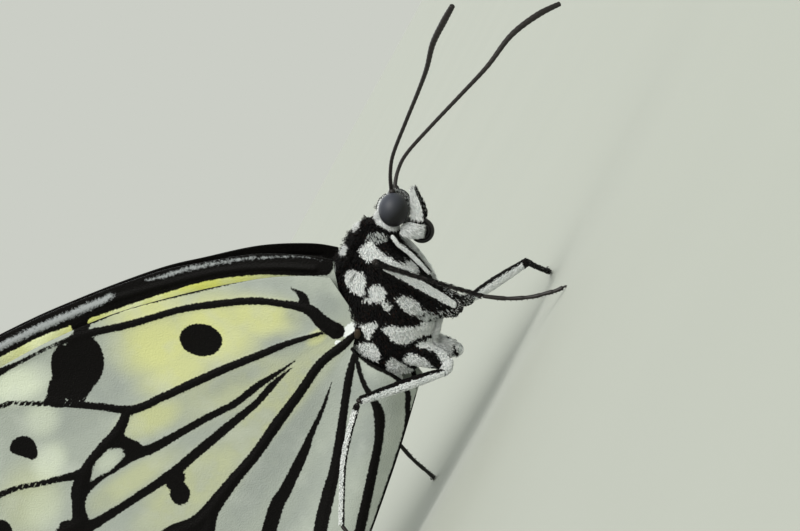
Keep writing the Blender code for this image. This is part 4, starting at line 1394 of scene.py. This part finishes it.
def build_feeler(side):
    route = FEELERS[side]
    rings = int(route_length(route) / RING_EVERY)
    t = np.linspace(0, 1, rings * 4 + 1)
    wave = np.tile((0.94, 1.02, 1.04, 1.0), rings)
    radii = width_at(FEELER_RADII, t) * np.append(wave, 0.95)
    bm = bmesh.new()
    tube(bm, route, radii, sides=12, step=RING_EVERY / 4, strip=(0.0, 0.6))
    base = (np.array(route[0]) - (0.15, 0, 0.1), np.array(route[1]) + (0.02, 0, 0.0))
    tube(bm, base, (0.25, 0.27, 0.2), sides=16, step=0.05, strip=(0.62, 1.0))
    finish_tubes("feeler_horn_" + side, bm, feeler_horn, ["feeler_" + side])


for side in SIDES:
    build_feeler(side)

# %% [markdown]
# At rest the tongue is rolled up under the head like a watch spring: a flat spiral whose turns
# touch.

# %% Tongue
COIL_TURNS = 3.2
COIL_REACH = (0.93, 0.2)      # from the centre to the middle of the outermost and innermost turn
COIL_START = math.radians(78)


def build_tongue():
    t = np.linspace(0, 1, 130)
    reach = COIL_REACH[0] + (COIL_REACH[1] - COIL_REACH[0]) * t
    angle = COIL_START - t * COIL_TURNS * TAU
    spiral = np.column_stack((reach * np.cos(angle), np.zeros(len(t)), reach * np.sin(angle)))
    root = np.array(((-1.15, 0.0, 13.2), (-1.05, 0.0, 12.9)))
    bm = bmesh.new()
    tube(bm, np.concatenate((root, spiral + TONGUE_CENTRE)), (0.27, 0.25, 0.2, 0.16, 0.1),
         upper=(0, 1, 0), across=0.8, sides=14, step=0.06)
    finish_tubes("tongue_horn", bm, tongue_horn, ["tongue"])


build_tongue()

# %% [markdown]
# The palps are the two brushes that stand up before the face. Each is a slim tube hidden in
# hair: the lower part a fan of white hairs that spread forward, the upper part a white plume
# with a black front edge and a dark point.

# %% Palps
PALP_LOWER = ((-1.45, 0.85, 13.15), (-1.15, 0.95, 12.6), (-0.9, 0.95, 12.15), (-0.75, 0.9, 11.8))
PALP_UPPER = ((-0.5, 0.85, 12.15), (0.2, 0.66, 12.5), (0.95, 0.46, 13.12), (1.7, 0.32, 13.8))
LOWER_RADII = (0.3, 0.46, 0.46, 0.3)
UPPER_RADII = (0.32, 0.4, 0.34, 0.22, 0.08)
PALP_FOLD = -0.6              # the upper part lies in front of here
PALP_UPRIGHT = (-0.88, 0, 0.45)
PALP_FLATNESS = 0.62          # width across against width from front to rear
PALP_FRONT = np.array((0.45, 0.0, -0.88))   # the palp's own forward side


def mirrored(route, side):
    return np.array(route, float) * (1, SIDES[side], 1)


def palp_marks(facing, t, rng):
    """White, but black along the front edge of the upper part, at its root and at its point."""
    edge = 0.66 - facing @ PALP_FRONT
    ends = np.minimum((0.97 - t) * 5, (t - 0.07) * 5)
    return np.minimum(edge, ends) + rng.normal(0, 0.05, len(t))


def build_palp(side):
    lower, upper = mirrored(PALP_LOWER, side), mirrored(PALP_UPPER, side)
    bm = bmesh.new()
    tube(bm, lower, LOWER_RADII, upper=PALP_UPRIGHT, across=PALP_FLATNESS, strip=(0.0, 0.45))
    tube(bm, upper, UPPER_RADII, upper=PALP_UPRIGHT, across=PALP_FLATNESS, strip=(0.5, 1.0))
    core = finish_tubes("palp_horn_" + side, bm, chitin, ["palp_" + side])
    mesh = core.data
    places = (vertex_values(mesh, "co") - np.array(INSECT_ORIGIN)) / MM
    front = vertex_values(mesh, "normal") @ PALP_FRONT
    put_marks(mesh, np.where(places[:, 0] > PALP_FOLD, 0.6 - front, 0.5), np.full(len(places), 0.75),
              np.zeros(len(places)))
    rng = np.random.default_rng(21)
    at, facing, ahead, rolled = tube_points(lower, LOWER_RADII, 1700, rng, PALP_UPRIGHT, PALP_FLATNESS,
                                            (0.0, 0.45))
    fan = np.tile((-0.05, 0.0, -1.0), (len(at), 1)) + (at - lower[1]) * (0.35, 0.0, 0.0)
    brush = (blades(at, facing, fan, rng, 0.52, 0.05, 0.35, 0.16, LONG_BLADE), rolled,
             np.ones(len(at)), rng.uniform(0.55, 1.0, len(at)), rng.random(len(at)))
    at, facing, ahead, rolled = tube_points(upper, UPPER_RADII, 2500, rng, PALP_UPRIGHT, PALP_FLATNESS,
                                            (0.5, 1.0))
    t = rolled[:, 0]
    plume = (blades(at, facing, ahead, rng, 0.44 - 0.16 * t, 0.05, 0.45, 0.16, LONG_BLADE), rolled,
             palp_marks(facing, t, rng), rng.uniform(0.8, 1.0, len(t)), rng.random(len(t)))
    coat("palp_hair_" + side, [brush, plume], body_scales)


for side in SIDES:
    build_palp(side)

# %% [markdown]
# The forelegs of this family are small brushes folded against the breast and not used for
# walking. The right one is slim and has a narrow white band on its outer, upper side. The left
# one is stouter, white over most of the side that looks inward, with longer hairs along its front.

# %% Forelegs
FORELEG_ROUTES = {
    "right": ((-1.95, -1.45, 13.6), (-2.3, -1.45, 12.85), (-2.5, -1.3, 12.0), (-2.9, -1.15, 10.7),
              (-3.35, -1.0, 9.55)),
    "left": ((-2.6, 0.95, 13.1), (-2.9, 0.95, 12.2), (-3.3, 0.95, 11.2), (-3.8, 0.95, 10.05),
             (-4.4, 0.9, 9.0)),
}
FORELEG_RADII = {
    "right": (0.08, 0.13, 0.15, 0.15, 0.13, 0.08),
    "left": (0.2, 0.3, 0.34, 0.32, 0.26, 0.14),
}
FORELEG_UPPER = (1, 0, -0.4)
FORELEG_WHITE = {             # the way the white face looks; a lower edge makes it broader
    "right": ((-0.18, -0.69, 0.7), 0.15),
    "left": ((0.5, -0.8, 0.3), -0.35),
}


def build_foreleg(side):
    route = np.array(FORELEG_ROUTES[side])
    rng = np.random.default_rng(31)
    bm = bmesh.new()
    radii = FORELEG_RADII[side]
    tube(bm, route, radii, upper=FORELEG_UPPER)
    core = finish_tubes("foreleg_horn_" + side, bm, chitin, ["foreleg_" + side])
    count = len(core.data.vertices)
    put_marks(core.data, np.full(count, -0.5), np.zeros(count), np.zeros(count))
    at, facing, ahead, rolled = tube_points(route, radii, 3000, rng, FORELEG_UPPER)
    way, edge = FORELEG_WHITE[side]
    depth = facing @ np.array(way) - edge + rng.normal(0, 0.08, len(at))
    chalk = rng.uniform(0.6, 1.0, len(at))
    fringe = np.clip(facing @ np.array((0.9, 0.0, -0.4)), 0, 1)
    long = 0.34 + 0.2 * fringe if side == "left" else 0.22
    parts = [(blades(at, facing, ahead, rng, long, 0.06, 0.4, 0.25, LONG_BLADE), rolled, depth, chalk,
              rng.random(len(at)))]
    coat("foreleg_hair_" + side, parts, body_scales)


for side in SIDES:
    build_foreleg(side)

# %% [markdown]
# Each walking leg is a femur, a tibia and a foot of five short joints that ends in two claws.
# White scales line one side of the femur, and of the hind tibia, and cover the hind hip joint;
# the rest is dark horn under fine black scales. Two rows of small spines run down the tibia and the foot.

# %% Routes of the walking legs
HIP_ENDS = {
    "mid_right": (-4.85, -0.95, 6.1), "mid_left": (-4.85, 0.95, 6.1),
    "hind_right": (-9.05, -0.95, 4.7), "hind_left": (-8.5, 1.05, 4.3),
}
FEMORA = {
    "mid_right": ((-4.4, -2.25, 6.5), (-3.9, -3.6, 10.2), (-3.45, -5.0, 13.8)),
    "mid_left": ((-4.75, 2.15, 5.6), (-3.15, 4.5, 4.3), (-1.25, 6.8, 2.85)),
    "hind_right": ((-9.55, -2.2, 4.75), (-11.45, -4.4, 7.2), (-13.2, -6.4, 9.5)),
    "hind_left": ((-9.1, 2.3, 4.6), (-10.9, 4.5, 6.9), (-12.5, 6.5, 8.7)),
}
TIBIAE = {
    "mid_right": ((-3.25, -5.85, 13.7), (-2.55, -5.5, 9.8), (-1.75, -5.15, 5.6)),
    "mid_left": ((-1.35, 7.45, 2.6), (-2.3, 10.6, 1.55), (-3.2, 13.8, 0.45)),
    "hind_right": ((-13.84, -6.83, 9.83), (-17.94, -7.64, 8.56), (-22.28, -8.46, 6.95)),
    "hind_left": ((-13.1, 6.85, 8.55), (-17.0, 8.4, 6.9), (-20.8, 9.8, 5.05)),
}
FEET = {
    "mid_right": ((-1.6, -5.1, 5.0), (-1.05, -5.05, 3.8), (-0.45, -5.0, 2.75), (0.25, -5.0, 1.8),
                  (0.9, -5.0, 1.15), (1.45, -5.0, 0.6), (2.0, -5.0, 0.2)),
    "mid_left": ((-3.35, 14.5, 0.28), (-3.7, 15.7, 0.2), (-4.1, 17.0, 0.2), (-4.45, 18.2, 0.2),
                 (-4.7, 19.2, 0.2)),
    "hind_right": ((-22.7, -8.7, 5.6), (-23.5, -9.5, 3.6), (-24.2, -10.6, 1.6), (-24.7, -11.8, 0.35),
                   (-25.0, -12.6, 0.2), (-25.2, -13.4, 0.2)),
    "hind_left": ((-21.4, 10.2, 4.3), (-22.3, 11.2, 2.7), (-23.1, 12.4, 1.2), (-23.7, 13.5, 0.35),
                  (-24.1, 14.3, 0.2), (-24.4, 15.1, 0.2)),
}
FEMUR_RADII = (0.22, 0.34, 0.38, 0.36, 0.3, 0.24)
TIBIA_RADII = {
    "mid": (0.19, 0.15, 0.14, 0.13, 0.13, 0.14),
    "hind": (0.17, 0.18, 0.17, 0.165, 0.16, 0.15),
}
HIP_RADII = (0.34, 0.38, 0.28)
FOOT_RADII = (0.19, 0.18, 0.18, 0.18, 0.17)
FOOT_JOINTS = 5
FOOT_HEIGHT = 0.18            # the least height of the foot's middle above the floor
SPINE_EVERY = 0.42            # mm from one pair of spines to the next
STRIPS = {"hip": (0.0, 0.16), "femur": (0.17, 0.38), "tibia": (0.39, 0.62), "foot": (0.63, 0.88),
          "spines": (0.9, 0.92), "claws": (0.93, 0.95), "knee": (0.96, 0.99)}    # of the texture
LEG_BLADES = {"hip": 900, "femur": 4200, "mid": 900, "hind": 2600}    # the last two on the tibia
WHITE_SIDE = {                # which way the white side of femur and of tibia looks
    "mid_right": ((0.85, -0.3, -0.4), None),
    "mid_left": ((-0.32, -0.89, -0.29), None),
    "hind_right": ((-0.75, -0.35, -0.45), (-0.35, -0.5, 0.8)),
    "hind_left": ((-0.75, 0.35, -0.45), (-0.35, 0.5, 0.8)),
}
WHITE_FROM = {"mid": 0.15, "hind": -0.35}      # lower makes the white side broader
TIBIA_FROM = -0.1
KNEE_BLACK = 0.08             # share of the tibia below the knee that is black
WHITE_END = {"mid": 0.86, "hind": 0.97}        # how far down the femur the white goes


def knees(leg):
    """Femur, tibia and foot, drawn out so that they meet at the joints."""
    femur, tibia, foot = (np.array(part[leg], float) for part in (FEMORA, TIBIAE, FEET))
    knee = (femur[-1] + tibia[0]) / 2
    ankle = (tibia[-1] + foot[0]) / 2
    femur[-1] = femur[-1] * 0.4 + knee * 0.6
    tibia[0] = tibia[0] * 0.4 + knee * 0.6
    tibia[-1], foot[0] = ankle, ankle
    foot[1:, 2] = np.maximum(foot[1:, 2], FOOT_HEIGHT)
    return femur, tibia, foot


def foot_radii():
    """Each joint of the foot swells towards its end, where the next one begins."""
    joint = np.linspace(0, 1, FOOT_JOINTS * 6 + 1)
    swell = 0.82 + 0.24 * ((joint * FOOT_JOINTS) % 1.0)
    return width_at(FOOT_RADII, joint) * swell


def add_spines(bm, route, radii, length):
    """Two rows of small spines along the underside, leaning towards the foot."""
    count = int(route_length(route) / SPINE_EVERY)
    t = np.linspace(0.12, 0.95, count)
    at, ahead, up, out = route_frame(route, t, (0, 0, 1))
    for k in range(count):
        for way in (-1, 1):
            side = unit((-up[k] * 0.7 + way * out[k] * 0.75)[None])[0]
            root = at[k] + side * width_at(radii, t[k]) * 0.85
            tip = root + (side * 0.75 + ahead[k] * 0.75) * length
            tube(bm, (root, (root + tip) / 2 + side * 0.02, tip), (0.035, 0.026, 0.01), upper=out[k],
                 sides=5, step=0.2, strip=STRIPS["spines"])


def add_claws(bm, foot):
    """Two claws that part and hook down to the ground."""
    end = foot[-1]
    ahead = unit((foot[-1] - foot[-2])[None])[0]
    out = np.cross((0, 0, 1), ahead)
    for way in (-1, 1):
        hook = (end - ahead * 0.1, end + ahead * 0.1 + out * way * 0.12 + (0, 0, 0.03),
                end + ahead * 0.24 + out * way * 0.2 - (0, 0, 0.02),
                end + ahead * 0.3 + out * way * 0.24 - (0, 0, 0.13))
        tube(bm, hook, (0.07, 0.06, 0.04, 0.015), sides=8, step=0.05, strip=STRIPS["claws"])


def leg_marks(facing, t, pair, way, tibia):
    """White on one side, but black at the knee; a leg part with no way is black all over."""
    if way is None:
        return np.full(len(t), -1.0)
    white = facing @ unit(np.array([way], float))[0] - (TIBIA_FROM if tibia else WHITE_FROM[pair])
    ends = (t - KNEE_BLACK) * 8 if tibia else (WHITE_END[pair] - t) * 8
    return np.minimum(white, ends)


def build_leg(leg):
    pair, side = leg.split("_")
    femur, tibia, foot = knees(leg)
    rng = np.random.default_rng(len(leg) + 7)
    hip = np.array(HIP_ENDS[leg], float)
    joint = (hip + (0.1, 0, 0.25), (hip + femur[0]) / 2, femur[0] + (femur[1] - femur[0]) * 0.03)
    knee = (femur[-1], (femur[-1] + tibia[0]) / 2 + (0.05, 0, 0.05), tibia[0])
    femur_way, tibia_way = WHITE_SIDE[leg]
    bm = bmesh.new()
    femur_t = tube(bm, femur, FEMUR_RADII, sides=16, strip=STRIPS["femur"])
    tibia_t = tube(bm, tibia, TIBIA_RADII[pair], sides=14, strip=STRIPS["tibia"])
    joint_t = tube(bm, joint, HIP_RADII, sides=16, strip=STRIPS["hip"])
    tube(bm, knee, (0.2, 0.24, 0.2), sides=12, step=0.08, strip=STRIPS["knee"])
    tube(bm, foot, foot_radii(), sides=12, step=0.09, strip=STRIPS["foot"])
    add_spines(bm, tibia, TIBIA_RADII[pair], 0.22)
    add_spines(bm, foot, FOOT_RADII, 0.13)
    add_claws(bm, foot)
    nodes = [f"{pair}_{part}_{side}" for part in ("femur", "tibia", "tarsus")]
    core = finish_tubes("leg_horn_" + leg, bm, leg_horn, nodes).data
    facing = vertex_values(core, "normal")
    white = np.full(len(facing), -1.0)
    ends = len(femur_t), len(femur_t) + len(tibia_t)
    white[:ends[0]] = leg_marks(facing[:ends[0]], femur_t, pair, femur_way, False)
    white[ends[0]:ends[1]] = leg_marks(facing[ends[0]:ends[1]], tibia_t, pair, tibia_way, True)
    if pair == "hind":
        white[ends[1]:ends[1] + len(joint_t)] = 1.0
    put_attribute(core, "white", white)
    parts = []
    limbs = (("hip", joint, HIP_RADII, LEG_BLADES["hip"], femur_way),
             ("femur", femur, FEMUR_RADII, LEG_BLADES["femur"], femur_way),
             ("tibia", tibia, TIBIA_RADII[pair], LEG_BLADES[pair], tibia_way))
    for part, route, radii, count, way in limbs:
        at, facing, ahead, rolled = tube_points(np.array(route), radii, count, rng, strip=STRIPS[part])
        if part == "hip":
            depth = rng.normal(0.6 if pair == "hind" else -0.25, 0.3, len(at))
        else:
            depth = leg_marks(facing, rolled[:, 0], pair, way, part == "tibia")
        depth = depth + rng.normal(0, 0.05, len(at))
        chalk = rng.uniform(0.75, 1.0, len(at))
        parts.append((blades(at, facing, ahead, rng, 0.25, 0.07, 0.3, 0.2), rolled, depth, chalk,
                      rng.random(len(at))))
    coat("leg_scales_" + leg, parts, body_scales)


for leg in HIP_ENDS:
    build_leg(leg)

# %% [markdown]
# At the hinge of the hindwing a small brown plate lies bare between the white scales.

# %% Hinge plates
HINGE_PLATE = ((-9.6, 3.02, 12.4), (-10.0, 2.9, 12.2), (-10.4, 2.76, 12.1))

for side in SIDES:
    bm = bmesh.new()
    tube(bm, mirrored(HINGE_PLATE, side), (0.12, 0.2, 0.12), upper=(0, 1, 0), across=1.4)
    finish_tubes("hinge_plate_" + side, bm, horn_plate, [])

# %% [markdown]
# The coat took its places from the skin in millimetres, so the skin comes to the frame last.

# %% The skin in its place
body_skin.data.transform(TO_FRAME)
body_skin.data.shade_smooth()
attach(body_skin, "root")
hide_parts(*TRUNK, *COXAE)
